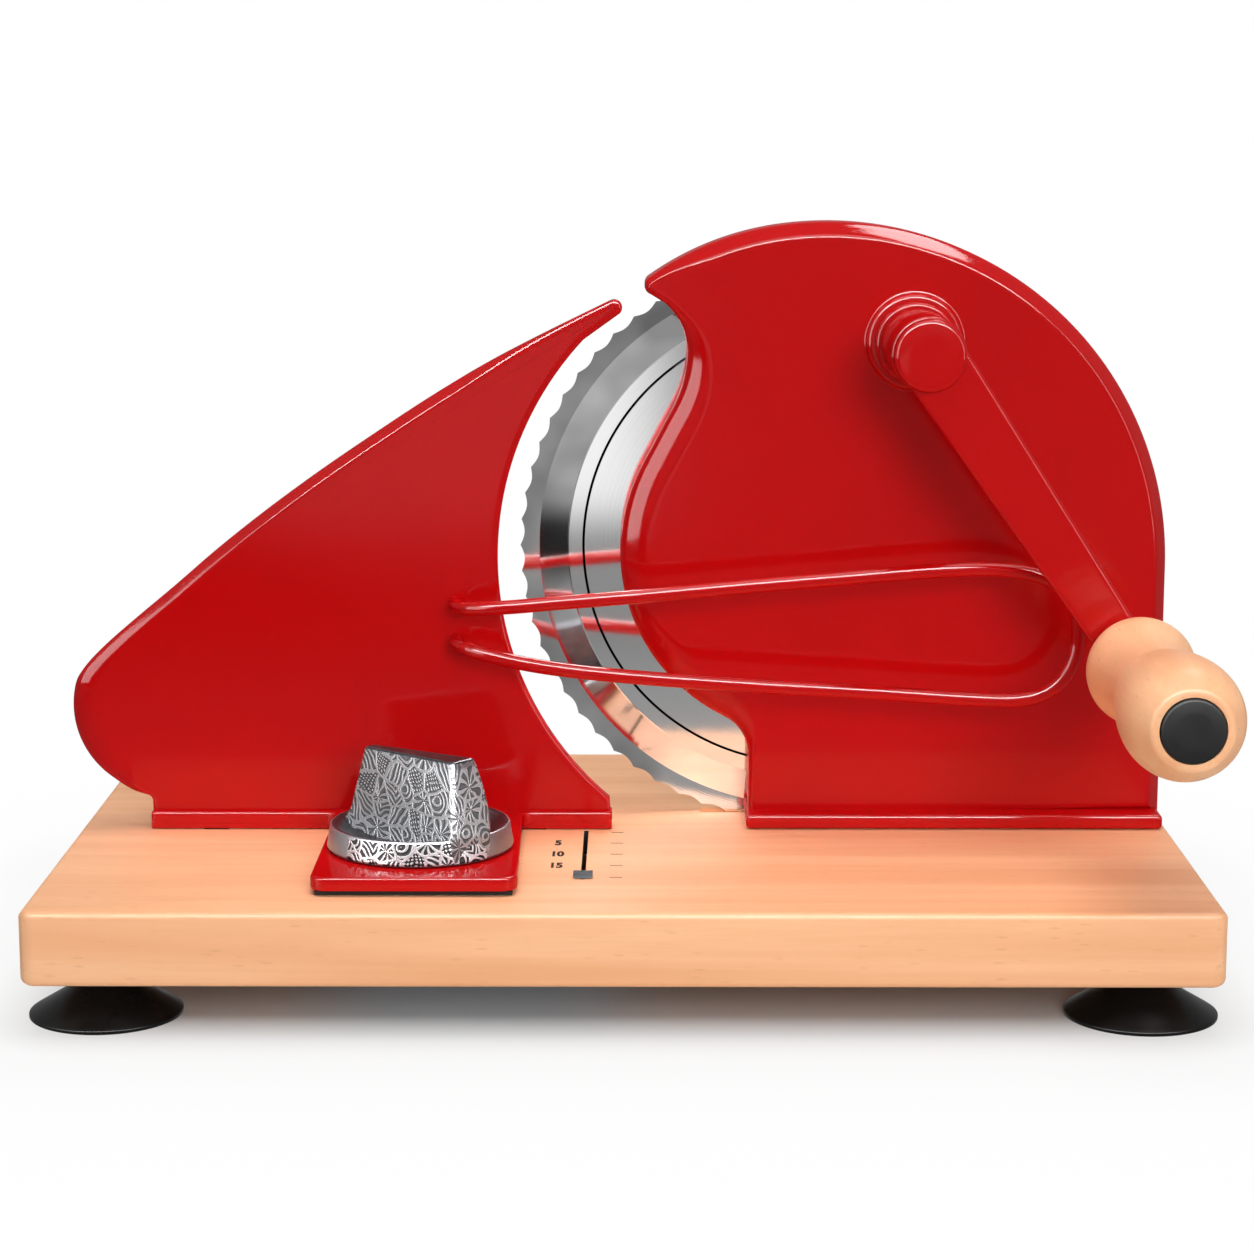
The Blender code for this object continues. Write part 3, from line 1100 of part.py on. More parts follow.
def wire_route():
    """The guard's route: out of the plate, along the slices, round the loop and back."""
    y = WIRE_PLANE_Y
    x = WIRE_ENDS_X
    low, high = WIRE_END_ZS
    seat = PLATE_FRONT_Y + WIRE_SEAT
    return [(x, seat, high), (x + 0.0003, PLATE_FRONT_Y - 0.006, high),
            (x + 0.005, y + 0.005, high + 0.0004), (x + 0.018, y + 0.0008, high + 0.0016),
            (x + 0.035, y, high + 0.0032), (0.0051, y, 0.081), (0.038, y, 0.0841),
            (0.072, y, 0.087), (0.100, y, 0.0893), (0.120, y, 0.0897), (0.1345, y, 0.0868),
            (0.1432, y, 0.079), (0.1455, y, 0.0685), (0.1432, y, 0.0578), (0.137, y, 0.0505),
            (0.127, y, 0.0474), (0.110, y, 0.0477), (0.080, y, 0.0497), (0.040, y, 0.052),
            (0.0051, y, 0.0545), (x + 0.035, y, low - 0.0062),
            (x + 0.018, y + 0.0008, low - 0.0034),
            (x + 0.005, y + 0.005, low - 0.0006), (x + 0.0003, PLATE_FRONT_Y - 0.006, low),
            (x, seat, low)]


def smooth_route(points, per_span):
    """More points on a smooth curve through a route's own points."""
    made = []
    for i in range(len(points) - 1):
        p0, p1 = points[max(i - 1, 0)], points[i]
        p2, p3 = points[i + 1], points[min(i + 2, len(points) - 1)]
        for step in range(per_span):
            t = step / per_span
            made.append(tuple(
                0.5 * (2 * b + (c - a) * t + (2 * a - 5 * b + 4 * c - d) * t * t
                       + (3 * b - a - 3 * c + d) * t ** 3)
                for a, b, c, d in zip(p0, p1, p2, p3)))
    made.append(points[-1])
    return made


def make_wire(enamel):
    curve = bpy.data.curves.new("slice_guard_wire", "CURVE")
    curve.dimensions = "3D"
    curve.bevel_depth = WIRE_RADIUS
    curve.bevel_resolution = 2
    curve.use_fill_caps = True
    points = smooth_route(wire_route(), 2)
    spline = curve.splines.new("POLY")
    spline.points.add(len(points) - 1)
    for point, co in zip(spline.points, points):
        point.co = (*co, 1)
    wire = new_object("slice_guard_wire", curve, place(0, 0, 0))
    curve.materials.append(enamel)
    return wire


def make_knob(chrome, steel, gear_plastic):
    """The turn knob, the spindle through the board and the two pinions under it."""
    radius, low = KNOB_RADIUS, KNOB_BOTTOM_Z
    rim = low + KNOB_SKIRT_HEIGHT
    knob = lathe_z("adjusting_knob", [
        (0, rim - 0.001), (radius - 0.008, rim - 0.001), (radius - 0.0025, rim - 0.0004),
        (radius - 0.0014, rim), (radius - 0.0008, rim - 0.0004), (radius, low + 0.0012),
        (radius - 0.0005, low), (0, low)], KNOB_X, KNOB_Y, 32)
    fin_low = rim - 0.002
    fin_height = low + KNOB_HEIGHT - fin_low
    shape = bmesh.new()
    bmesh.ops.create_cube(shape, size=1.0)
    for vertex in shape.verts:
        length, width = FIN_TOP if vertex.co.z > 0 else FIN_FOOT
        vertex.co.x *= length
        vertex.co.y *= width
        vertex.co.z *= fin_height
    mesh = bpy.data.meshes.new("knob_fin")
    shape.to_mesh(mesh)
    shape.free()
    fin = new_object("knob_fin", mesh, place(KNOB_X, KNOB_Y, fin_low + fin_height / 2))
    fin.rotation_euler.z = radians(FIN_TURN)
    bevel(fin, FIN_EDGE_ROUND, 2)
    join(knob, fin)
    spindle_top = rim + SPINDLE_IN_KNOB
    cut(knob, rod("knob_bore", SPINDLE_RADIUS + SHAFT_CLEARANCE, (KNOB_X, KNOB_Y, low - EMBED),
                  (KNOB_X, KNOB_Y, spindle_top + GAP)))
    shoulder = CEILING_Z - GAP
    spindle = lathe_z("knob_spindle", [
        (0, spindle_top), (SPINDLE_RADIUS, spindle_top), (SPINDLE_RADIUS, shoulder),
        (SPINDLE_TAIL_RADIUS, shoulder), (SPINDLE_TAIL_RADIUS, SLIDE_BOTTOM_Z),
        (0, SLIDE_BOTTOM_Z)], KNOB_X, KNOB_Y, 20)
    bore = SPINDLE_TAIL_RADIUS + SHAFT_CLEARANCE
    hole = circle(0, 0, bore, 12)
    pinion = slab("rack_pinion", [gear_outline(PINION_TEETH, RACK_MODULE, pi), hole],
                  PINION_WIDTH, place(KNOB_X, KNOB_Y, (PINION_TOP_Z + PINION_BOTTOM_Z) / 2))
    disc_z = SLIDE_BOTTOM_Z + POINTER_PINION_WIDTH / 2
    disc = slab("pointer_pinion", [gear_outline(POINTER_PINION_TEETH, RACK_MODULE, 0), hole],
                POINTER_PINION_WIDTH, place(KNOB_X, KNOB_Y, disc_z))
    spacer_low = SLIDE_BOTTOM_Z + POINTER_PINION_WIDTH + GAP
    spacer = lathe_z("pinion_spacer", [
        (bore, PINION_BOTTOM_Z - GAP), (bore + SPACER_WALL, PINION_BOTTOM_Z - GAP),
        (bore + SPACER_WALL, spacer_low), (bore, spacer_low)], KNOB_X, KNOB_Y, 12, bored=True)
    knob.data.materials.append(chrome)
    spindle.data.materials.append(steel)
    for item in (pinion, disc, spacer):
        item.data.materials.append(gear_plastic)


def make_drive(steel, gear_plastic):
    """The fixed rack, the pointer's slide with its rack and rail, and the bottom cover."""
    margin = RACK_END_MARGIN
    start, end = KNOB_Y - margin, KNOB_Y + THICKNESS_RANGE + margin
    outline = rack_teeth(RACK_LINE_X, start, end, KNOB_Y, 1)
    outline += [(RACK_LEFT, end), (RACK_LEFT, start)]
    holes = [circle(x, y, SCREW_RADIUS + SHAFT_CLEARANCE, 10) for x, y in rack_screw_places()]
    rack_top = CEILING_Z - GAP
    rack = slab("thickness_rack", [outline] + holes, rack_top - PINION_BOTTOM_Z,
                place(0, 0, (rack_top + PINION_BOTTOM_Z) / 2))
    for index, (x, y) in enumerate(rack_screw_places()):
        made = screw(f"rack_screw_{index + 1}", x, y, PINION_BOTTOM_Z - GAP,
                     CEILING_Z + RACK_SCREW_BITE - PINION_BOTTOM_Z)
        made.data.materials.append(steel)

    outline = rack_teeth(SLIDE_LINE_X, SLIDE_FRONT_Y, SLIDE_BACK_Y, KNOB_Y, -1)
    outline += [(SLIDE_BAR_RIGHT, SLIDE_BACK_Y), (SLIDE_BAR_RIGHT, SLIDE_FRONT_Y)]
    slide = slab("pointer_slide", [outline], SLIDE_THICKNESS,
                 place(0, 0, (SLIDE_BOTTOM_Z + SLIDE_TOP_Z) / 2))
    half_arm = POINTER_ARM_WIDTH / 2
    stem_half = POINTER_SLOT_WIDTH / 2 - GAP
    stem_reach = POINTER_SIZE[1] / 2 - GAP
    join(slide,
         block("pointer_arm", (SLIDE_LINE_X + half_arm, POINTER_Y - half_arm, SLIDE_TOP_Z - EMBED),
               (POINTER_X + half_arm - EMBED, POINTER_Y + half_arm, ARM_TOP_Z)),
         block("pointer_stem", (POINTER_X - stem_half, POINTER_Y - stem_reach, ARM_TOP_Z - EMBED),
               (POINTER_X + stem_half, POINTER_Y + stem_reach, 0)))
    width, length, height = POINTER_SIZE
    pointer = block("scale_pointer", (POINTER_X - width / 2, POINTER_Y - length / 2, GAP),
                    (POINTER_X + width / 2, POINTER_Y + length / 2, GAP + height), 0.0004, 1)
    rail = block("pointer_rail", (SLIDE_BAR_RIGHT + GAP, RECESS_FRONT_Y + EMBED, SLIDE_BOTTOM_Z),
                 (SLIDE_BAR_RIGHT + GAP + RAIL_WIDTH, RECESS_BACK_Y - EMBED,
                  SLIDE_TOP_Z - EMBED - GAP))
    cover = block("mechanism_cover",
                  (RECESS_LEFT - COVER_LEDGE, RECESS_FRONT_Y - COVER_LEDGE,
                   COVER_TOP_Z - COVER_THICKNESS),
                  (RECESS_RIGHT + COVER_LEDGE, RECESS_BACK_Y + COVER_LEDGE, COVER_TOP_Z))
    for index, (x, y) in enumerate(cover_corners()):
        cut(cover, rod(f"cover_clearance_{index}", SCREW_RADIUS + SHAFT_CLEARANCE,
                       (x, y, -BOARD_THICKNESS - EMBED), (x, y, COVER_TOP_Z + EMBED), 8))
        made = screw(f"cover_screw_{index + 1}", x, y, COVER_TOP_Z - COVER_THICKNESS - GAP,
                     COVER_THICKNESS + COVER_SCREW_BITE)
        made.data.materials.append(steel)
    for item in (rack, slide):
        item.data.materials.append(gear_plastic)
    for item in (pointer, rail, cover):
        item.data.materials.append(steel)


def make_housing_screws(steel):
    head_z = -BOARD_THICKNESS + 2 * HOUSING_SCREW_HEAD_HEIGHT - GAP
    for index, (x, y) in enumerate(housing_screw_places()):
        made = screw(f"housing_screw_{index + 1}", x, y, head_z,
                     FOOT_BOSS_HEIGHT - 2 * EMBED - GAP - head_z, HOUSING_SCREW_RADIUS,
                     HOUSING_SCREW_HEAD_RADIUS, HOUSING_SCREW_HEAD_HEIGHT)
        made.data.materials.append(steel)


def group_bodies():
    """Parent each moving body's pieces to an empty on its joint's axis."""
    bodies = {
        "stop_carriage": ((KNOB_X, PLATE_BACK_Y, 0), None,
                          ["thickness_plate", "glide_pad", "spindle_bush", "guide_key_1",
                           "guide_key_2", "key_screw_1", "key_screw_2", "slice_guard_wire"]),
        "knob_unit": ((KNOB_X, KNOB_Y, KNOB_BOTTOM_Z), "stop_carriage",
                      ["adjusting_knob", "knob_spindle", "rack_pinion", "pinion_spacer",
                       "pointer_pinion"]),
        "pointer_unit": ((POINTER_X, POINTER_Y, 0), None, ["pointer_slide", "scale_pointer"]),
        "crank_unit": ((CRANK_X, ARM_FRONT_Y, CRANK_Z), None,
                       ["crank_shaft", "crank_gear", "crank_collar", "crank_arm", "crank_cap",
                        "shaft_clip", "grip_pin", "grip_nut"]),
        "grip_unit": ((GRIP_X, GRIP_FRONT_Y, GRIP_Z), "crank_unit", ["wooden_grip", "grip_plug"]),
        "blade_unit": ((BLADE_X, BLADE_FACE_Y, BLADE_Z), None,
                       ["blade", "blade_gear", "blade_bush", "blade_rivet_1", "blade_rivet_2",
                        "blade_rivet_3"]),
    }
    for body, (origin, parent, names) in bodies.items():
        axis = new_object(body, None, place(*origin))
        axis.empty_display_size = 0.02
        if parent:
            attach(axis, bpy.data.objects[parent])
        for name in names:
            attach(bpy.data.objects[name], axis)


def attach(item, parent):
    bpy.context.view_layer.update()
    item.parent = parent
    item.matrix_parent_inverse = parent.matrix_world.inverted()


def build():
    clear_scene()
    enamel = material("red_enamel", (0.46, 0.006, 0.008), 0.22)
    beech = material("beech", (0.80, 0.46, 0.24), 0.45)
    grip_wood = material("turned_beech", (0.76, 0.42, 0.22), 0.5)
    rubber = material("black_rubber", (0.012, 0.012, 0.012), 0.35)
    blade_steel = material("polished_steel", (0.62, 0.62, 0.62), 0.18, 1.0)
    steel = material("plated_steel", (0.45, 0.46, 0.47), 0.35, 1.0)
    chrome = material("cast_zinc", (0.55, 0.55, 0.56), 0.3, 1.0)
    brass = material("brass", (0.60, 0.42, 0.14), 0.35, 1.0)
    nylon = material("grey_nylon", (0.30, 0.31, 0.32), 0.5)
    plastic = material("black_plastic", (0.02, 0.02, 0.02), 0.4)

    make_board(beech)
    make_feet(rubber, steel)
    make_housing(enamel)
    make_housing_screws(steel)
    make_surround(enamel, steel)
    make_blade(blade_steel, nylon, brass, steel)
    make_crank(enamel, steel, brass, nylon)
    make_grip(grip_wood, steel, plastic)
    make_plate(enamel, plastic, brass, steel)
    make_wire(enamel)
    make_knob(chrome, steel, nylon)
    make_drive(steel, nylon)
    group_bodies()


build()
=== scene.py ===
"""The looks of the hand-cranked bread slicer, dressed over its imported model.

Metres, +Z up. Places are given from the board, as in the part's own source: x from its middle,
y back from its front edge and z up from its top. place() turns them into world coordinates.
"""
from math import acos, asin, atan2, ceil, cos, degrees, hypot, pi, radians, sin, sqrt
import bmesh
import bpy
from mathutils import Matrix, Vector


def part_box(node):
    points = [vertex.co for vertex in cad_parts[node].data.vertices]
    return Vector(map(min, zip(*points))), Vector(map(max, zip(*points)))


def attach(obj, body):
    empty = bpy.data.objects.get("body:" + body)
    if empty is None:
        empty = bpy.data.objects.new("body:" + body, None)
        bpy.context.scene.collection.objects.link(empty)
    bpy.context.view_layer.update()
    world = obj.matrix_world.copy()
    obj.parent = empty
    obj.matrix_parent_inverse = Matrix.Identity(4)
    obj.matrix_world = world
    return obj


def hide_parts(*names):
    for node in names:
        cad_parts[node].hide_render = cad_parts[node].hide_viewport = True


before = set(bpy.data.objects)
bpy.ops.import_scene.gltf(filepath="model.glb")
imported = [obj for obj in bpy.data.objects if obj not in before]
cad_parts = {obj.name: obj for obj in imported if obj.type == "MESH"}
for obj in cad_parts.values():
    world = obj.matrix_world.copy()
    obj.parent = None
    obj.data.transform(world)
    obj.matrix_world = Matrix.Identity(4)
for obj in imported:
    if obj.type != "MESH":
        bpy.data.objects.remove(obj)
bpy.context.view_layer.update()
BOARD_LOW, BOARD_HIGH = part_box("base_board")


def place(x, y, z):
    """World position of a point given from the board."""
    return Vector((x, y + BOARD_LOW.y, z + BOARD_HIGH.z))


def box_of(node):
    """A node's lowest and highest corners and its middle, from the board."""
    low, high = (corner - place(0, 0, 0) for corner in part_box(node))
    return low, high, (low + high) / 2


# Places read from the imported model
BLADE_LOW, BLADE_HIGH, BLADE = box_of("blade")
BLADE_RADIUS = (BLADE_HIGH.x - BLADE_LOW.x) / 2
BLADE_FRONT_Y, BLADE_FACE_Y = BLADE_LOW.y, BLADE_HIGH.y
CAP_LOW, CAP_HIGH, CRANK = box_of("crank_cap")
COLLAR_LOW, COLLAR_HIGH, _ = box_of("crank_collar")
GRIP_LOW, GRIP_HIGH, GRIP = box_of("wooden_grip")
PLUG_LOW, PLUG_HIGH, _ = box_of("grip_plug")
KNOB_LOW, KNOB_HIGH, KNOB = box_of("adjusting_knob")
PLATE_LOW, PLATE_HIGH, _ = box_of("thickness_plate")
HOUSING_LOW, HOUSING_HIGH, _ = box_of("gear_housing")
POINTER_LOW, POINTER_HIGH, POINTER = box_of("scale_pointer")
COVER_LOW, COVER_HIGH, _ = box_of("mechanism_cover")
BOARD_LENGTH = BOARD_HIGH.x - BOARD_LOW.x
BOARD_DEPTH = BOARD_HIGH.y - BOARD_LOW.y
BOARD_THICKNESS = BOARD_HIGH.z - BOARD_LOW.z
# The play left between pieces that touch, and how far a cutter or a joint reaches past a face
GAP = 0.0003
OVERSHOOT = 0.001

# Rounded edges. Each ends on a narrow land, which keeps the shading of the flat face beside it flat.
# The rest are shares of an edge's width: the bend of a chamfer at the face, its slope in degrees and
# where it ends, and the turn and the radius of a dome before its tight corner.
FACE_LAND = 0.0003
SIDE_LAND = 0.0004
CHAMFER_BEND = 0.3
CHAMFER_SLOPE = 57.7
CHAMFER_END = (0.12, 1.13)
DOME_TURN = 42
DOME_RADIUS = 1.345

# Board
BOARD_CORNER_CUT = 0.003
BOARD_EDGE_ROUND = 0.0022
SLOT_ROOM = 0.003
COVER_LEDGE = 0.006
POINTER_SLOT_HALF = 0.00075
SPINDLE_SLOT_HALF = 0.0056
SCREW_SEAT = 0.0028
THICKNESS_RANGE = 0.020
POINTER_TRAVEL = 0.0575

# Housing. Angles here and below are in degrees, anticlockwise from +x as the camera sees them.
FLANGE_REACH = 0.009
FLANGE_THICKNESS = 0.005
FLANGE_ROUND = 0.0014
HOUSING_OFFSET_X = 0.0055
HOUSING_OFFSET_Z = -0.0049
HOUSING_WALL = 0.0035
HOUSING_BOTTOM = 0.002
HOUSING_FLOOR = 0.006
BACK_END_ANGLE = 100
BEAK_RADIUS = 0.003
BEAK_ANGLE = 121.5
BEAK_DIP = 0.0014
BEAK_TOP_ANGLE = 124
BEAK_UNDER_ANGLE = 250
BEAK_BULGE = 0.0023
BEAK_SOLID = 0.003
BEND_UPPER_RADIUS = 0.020
BEND_UPPER_ANGLE = 50
BEND_CAVITY_ANGLE = 25
BEND_LOWER_RADIUS = 0.041
BEND_STRAIGHT = 0.0205
GULLET_RADIUS = 0.062
GULLET_TOP_ANGLE = 152
GULLET_FOOT_ANGLE = 244
FOOT_FILLET_RADIUS = 0.014
BACK_ROUND = 0.0052
BEAK_ROUND = 0.0021
GULLET_ROUND = 0.0105
# The back's round narrows to the beak's from this share of its length on, and the gullet's swells
# over the first share of its own and shrinks over the last
BEAK_ROUND_FROM = 0.9
GULLET_SWELL_SHARES = (0.3, 0.2)
RUNNING_GAP = 0.0014
HOUSING_FACE_Y = HOUSING_LOW.y + FLANGE_REACH
HOUSING_CENTRE_X = BLADE.x + HOUSING_OFFSET_X
HOUSING_CENTRE_Z = BLADE.z + HOUSING_OFFSET_Z
HOUSING_RADIUS = HOUSING_HIGH.z - HOUSING_CENTRE_Z
ESCUTCHEON_RADIUS = 0.0157
ESCUTCHEON_HOLE_RADIUS = 0.0078
ESCUTCHEON_FRONT_Y = HOUSING_FACE_Y - 0.0035

# Blade. The slopes are those of its ground band and its edge, as they are mirrored.
BLADE_SCALLOPS = 68
STEPS_PER_SCALLOP = 10
SCALLOP_DEPTH = 0.0013
GRIND_RADIUS = 0.089
HOLLOW_RADIUS = 0.0796
GROOVE_RADIUS = 0.0743
GROOVE_WIDTH = 0.0004
BLADE_HOLE_RADIUS = 0.0098
BAND_SLOPE = 0.21
EDGE_SLOPE = 0.23

# Crank
ARM_BACK_Y = CAP_HIGH.y + GAP + 0.008
ARM_WIDTH_HUB = 0.021
ARM_WIDTH_GRIP = 0.0145
ARM_ROUND = 0.0016
HUB_RADIUS = 0.0118
HUB_STEP = 0.0012
CRANK_BORE_RADIUS = 0.0054
HUB_BORE_RADIUS = 0.0052

# Grip: its radii at shares of its length, as shares of its belly's, waist's or shoulder's radius
GRIP_WAIST = 0.0128
GRIP_SHOULDER = 0.0168
GRIP_BORE_RADIUS = 0.0058
GRIP_HOLE_RADIUS = 0.0043
PLUG_SEAT = 0.0025
BELLY_STATIONS = ((0.025, 0.74), (0.07, 0.89), (0.125, 0.97), (0.19, 1.0), (0.26, 0.985),
                  (0.34, 0.94), (0.43, 0.87))
WAIST_STATIONS = ((0.62, 1.0), (0.68, 1.01), (0.76, 1.1))
SHOULDER_STATIONS = ((0.85, 0.985), (0.89, 1.0), (0.935, 0.95), (0.97, 0.83), (0.99, 0.68),
                     (1.0, 0.56))

# Stop plate. PLATE_SLOPE is its long upper edge, as (x, z).
PLATE_THICKNESS = 0.006
PLATE_SIDE_ROUND = 0.0022
PLATE_REAR_ROUND = 0.001
PLATE_BACK_ROUND = 0.0038
PLATE_NOSE_ROUND = 0.0085
PLATE_EDGE_DEPTH = 0.5
PLATE_TO_BLADE = 0.0099
PLATE_ARC_SHIFT_X = 0.0033
PLATE_ARC_SHIFT_Z = -0.0014
PLATE_ARC_LOW_Z = 0.0097
PLATE_ARC_END_ANGLE = 137
PLATE_TIP_RADIUS = 0.0026
PLATE_TIP_ANGLE = 129.3
PLATE_TIP_LEAN = 0.0019
PLATE_TIP_ARC = (-42, 118)
PLATE_SLOPE = ((-0.0279, 0.1624), (-0.0454, 0.1532), (-0.0634, 0.1424), (-0.0804, 0.1313),
               (-0.0990, 0.1187), (-0.1170, 0.1056), (-0.1330, 0.0930), (-0.1470, 0.0810),
               (-0.1588, 0.0712), (-0.1690, 0.0625), (-0.1757, 0.0560), (-0.1798, 0.0507))
PLATE_NOSE_RADIUS = 0.0295
PLATE_NOSE_X = 0.0037
PLATE_NOSE_Z = 0.040
PLATE_NOSE_ARC = (165, 258)
# From which share of the upper edge its round turns into the nose's, and over what share, and
# how many points the round takes to grow from the side's at its two ends
PLATE_NOSE_SHARES = (0.4, 0.3)
PLATE_GROWTH_POINTS = (10, 8)
PLATE_HEEL_Z = 0.0104
PLATE_HEEL_ROUND = 0.0022
PLATE_BOTTOM_Z = 0.002
PLATE_FOOT_LEFT = -0.1564
KNOB_FROM_PLATE_END = 0.0599
PLATE_RIGHT = KNOB.x + KNOB_FROM_PLATE_END
PLATE_BACK_Y = PLATE_HIGH.y
PLATE_FRONT_Y = PLATE_BACK_Y - PLATE_THICKNESS
PLATE_FOOT_FRONT_Y = PLATE_BACK_Y - FLANGE_REACH
TONGUE_LEFT = KNOB.x - 0.031
TONGUE_RIGHT = KNOB.x + 0.032
TONGUE_FRONT_Y = PLATE_LOW.y
TONGUE_BOTTOM_Z = 0.0017
TONGUE_TOP_Z = 0.0059
TONGUE_CORNER = 0.005
TONGUE_FILLET = 0.0035
TONGUE_TAPER = 0.0016
TONGUE_ROUND = 0.0009
TONGUE_UNDER_ROUND = 0.0005
PLATE_FOOT_CORNER = 0.0015
PLATE_FOOT_RISE = 0.0012
PLATE_FOOT_ROUND = 0.0004

# Turn knob. FIN_TOP is the fin's length and width at its top. Its right end runs out over the
# skirt's wall, down to two corners on the rim that are given as shares of the knob's radius.
KNOB_RADIUS = (KNOB_HIGH.x - KNOB_LOW.x) / 2
SKIRT_HEIGHT = 0.0078
SKIRT_LEAN = 0.0011
RIM_WIDTH = 0.0017
COVE_DEPTH = 0.0042
FIN_TURN = -40.0
FIN_TOP = (0.039, 0.0105)
FIN_LEVELS = 28
FIN_START = 0.0006
FIN_CORNER = 0.0016
FIN_LEAN = 0.17
FIN_FLARE = (0.0034, 0.0022)
FIN_FLARE_HEIGHT = 0.008
FIN_TOP_ROUND = 0.0018
FIN_TOP_INSET = 0.0014
FIN_BACK_NARROW = 0.006
FIN_LOW_BACK = (1.0, 0.06)
FIN_LOW_FRONT = (0.91, -0.44)
LINE_PITCH = 0.0016
CHASED_ARC = (-136, -42)
SKIRT_CELL = 0.0062
FIN_CELL = 0.0068

# Scale
INK_FILM = 0.00004
TICK_FROM = 0.0082
TICK_TO = 0.0122
TICK_HALF_WIDTH = 0.00022
NUMBER_PLACE = 0.0088
NUMBER_SIZE = 0.0084
NUMBER_NARROWING = 0.52
NUMBER_STROKE = 0.00042

# Scale pointer
POINTER_RIBS = 4
RIB_DEPTH = 0.0011

# Wire guard. Its two ends sit in the stop plate, one above the other.
WIRE_RADIUS = 0.0023
WIRE_ENDS_X = -0.055
WIRE_END_ZS = (0.0633, 0.0757)
WIRE_PLANE_Y = PLATE_FRONT_Y - 0.020
WIRE_SEAT = 0.0038

# Camera: an 85 mm lens, 10 degrees above the horizontal
CAMERA_PLACE = (0.0053, -0.93725, 0.2754)
CAMERA_DOWN = 10.036
CAMERA_LEFT = 0.267

# Studio. A band is its two limits and how softly it ends, and a span is where a fade starts and
# ends. The lane is measured along x, the card across its own direction, the spans from the origin.
FLOOR_RADIUS = 6.0
SHADOW_INSET = 0.025
SHADOW_REACH = 0.2
ROOM_REACH = 1.25
LANE_BAND = (-0.26, -0.01, 0.06)
CARD_ACROSS = (0.904, -0.428, 0.0)
CARD_BAND = (-0.3, 0.12, 0.12)
CARD_NEAR_SPAN = (0.42, 0.66)
CARD_FAR_SPAN = (1.3, 2.6)
CARD_SHADE = 0.05
LAMP_AIM = (0, 0, 0.1)


def linear(colour):
    """An sRGB hex colour as linear RGBA."""
    parts = [int(colour[i:i + 2], 16) / 255 for i in (1, 3, 5)]
    return (*[p / 12.92 if p <= 0.04045 else ((p + 0.055) / 1.055) ** 2.4 for p in parts], 1.0)


def live(source):
    """The socket that feeds an input: of a node, the first output that its settings leave in use."""
    if isinstance(source, bpy.types.Node):
        return next(output for output in source.outputs if output.enabled)
    return source


def add(tree, kind, inputs=None, stops=(), **options):
    """Add a node. An input takes a value, a hex colour, or the node or socket that feeds it.

    stops are a ramp's places and colours: its first, its last and then those between.
    """
    made = tree.nodes.new("ShaderNode" + kind)
    for option, value in options.items():
        setattr(made, option, value)
    for key, value in (inputs or {}).items():
        if isinstance(value, (bpy.types.Node, bpy.types.NodeSocket)):
            tree.links.new(live(value), made.inputs[key])
        else:
            made.inputs[key].default_value = linear(value) if isinstance(value, str) else value
    for index, (position, colour) in enumerate(stops):
        ramp = made.color_ramp.elements
        stop = ramp[index] if index < 2 else ramp.new(position)
        stop.position = position
        stop.color = linear(colour)
    return made


def new_finish(name, colour, roughness, metallic=0.0, **constants):
    """A material with its shader's constants set, and the node tree to add its detail to."""
    made = bpy.data.materials.new(name)
    made.use_nodes = True
    tree = made.node_tree
    shader = tree.nodes["Principled BSDF"]
    shader.inputs["Base Color"].default_value = linear(colour)
    shader.inputs["Roughness"].default_value = roughness
    shader.inputs["Metallic"].default_value = metallic
    for key, value in constants.items():
        shader.inputs[key.replace("_", " ")].default_value = value
    where = add(tree, "TexCoord").outputs["Object"]
    return made, tree, shader, where


def feed(tree, shader, **sources):
    """Link nodes or sockets to the shader's inputs of the same names."""
    for key, source in sources.items():
        tree.links.new(live(source), shader.inputs[key.replace("_", " ")])


def mirror_rays(tree, path):
    """1 for rays that have been mirrored or let through."""
    return add(tree, "Math", {0: path.outputs["Is Glossy Ray"],
                              1: path.outputs["Is Transmission Ray"]},
               operation="MAXIMUM")


def red_enamel():
    """Stoved enamel on cast aluminium: a deep gloss over a faint orange peel and fine crazing."""
    made, tree, shader, where = new_finish(
        "stoved_red_enamel", "#B81012", 0.4, Specular_IOR_Level=0.0, Coat_Weight=0.42,
        Coat_Roughness=0.06)
    tone = add(tree, "TexNoise", {"Vector": where, "Scale": 22.0, "Detail": 2.0})
    colour = add(tree, "Mix", {0: tone, 6: "#B2080B", 7: "#BE0B0D"}, data_type="RGBA")
    # Orange peel about 1.5 mm across, and crazing in cells of about 4 mm and 1.6 mm
    peel = add(tree, "TexNoise", {"Vector": where, "Scale": 620.0, "Detail": 1.0})
    bend = add(tree, "TexNoise", {"Vector": where, "Scale": 260.0, "Detail": 2.0})
    shifted = add(tree, "Mix", {0: 0.012, 4: where, 5: bend.outputs["Color"]}, data_type="VECTOR")
    height = peel
    for scale, line in ((260.0, 0.05), (620.0, 0.11)):
        cells = add(tree, "TexVoronoi", {"Vector": shifted, "Scale": scale},
                    feature="DISTANCE_TO_EDGE")
        craze = add(tree, "MapRange", {"Value": cells, 1: 0.0, 2: line})
        height = add(tree, "Math", {0: craze, 1: 0.4, 2: height}, operation="MULTIPLY_ADD")
    bump = add(tree, "Bump", {"Strength": 0.15, "Distance": 0.00003, "Height": height})
    feed(tree, shader, Base_Color=colour, Normal=bump, Coat_Normal=bump)
    return made


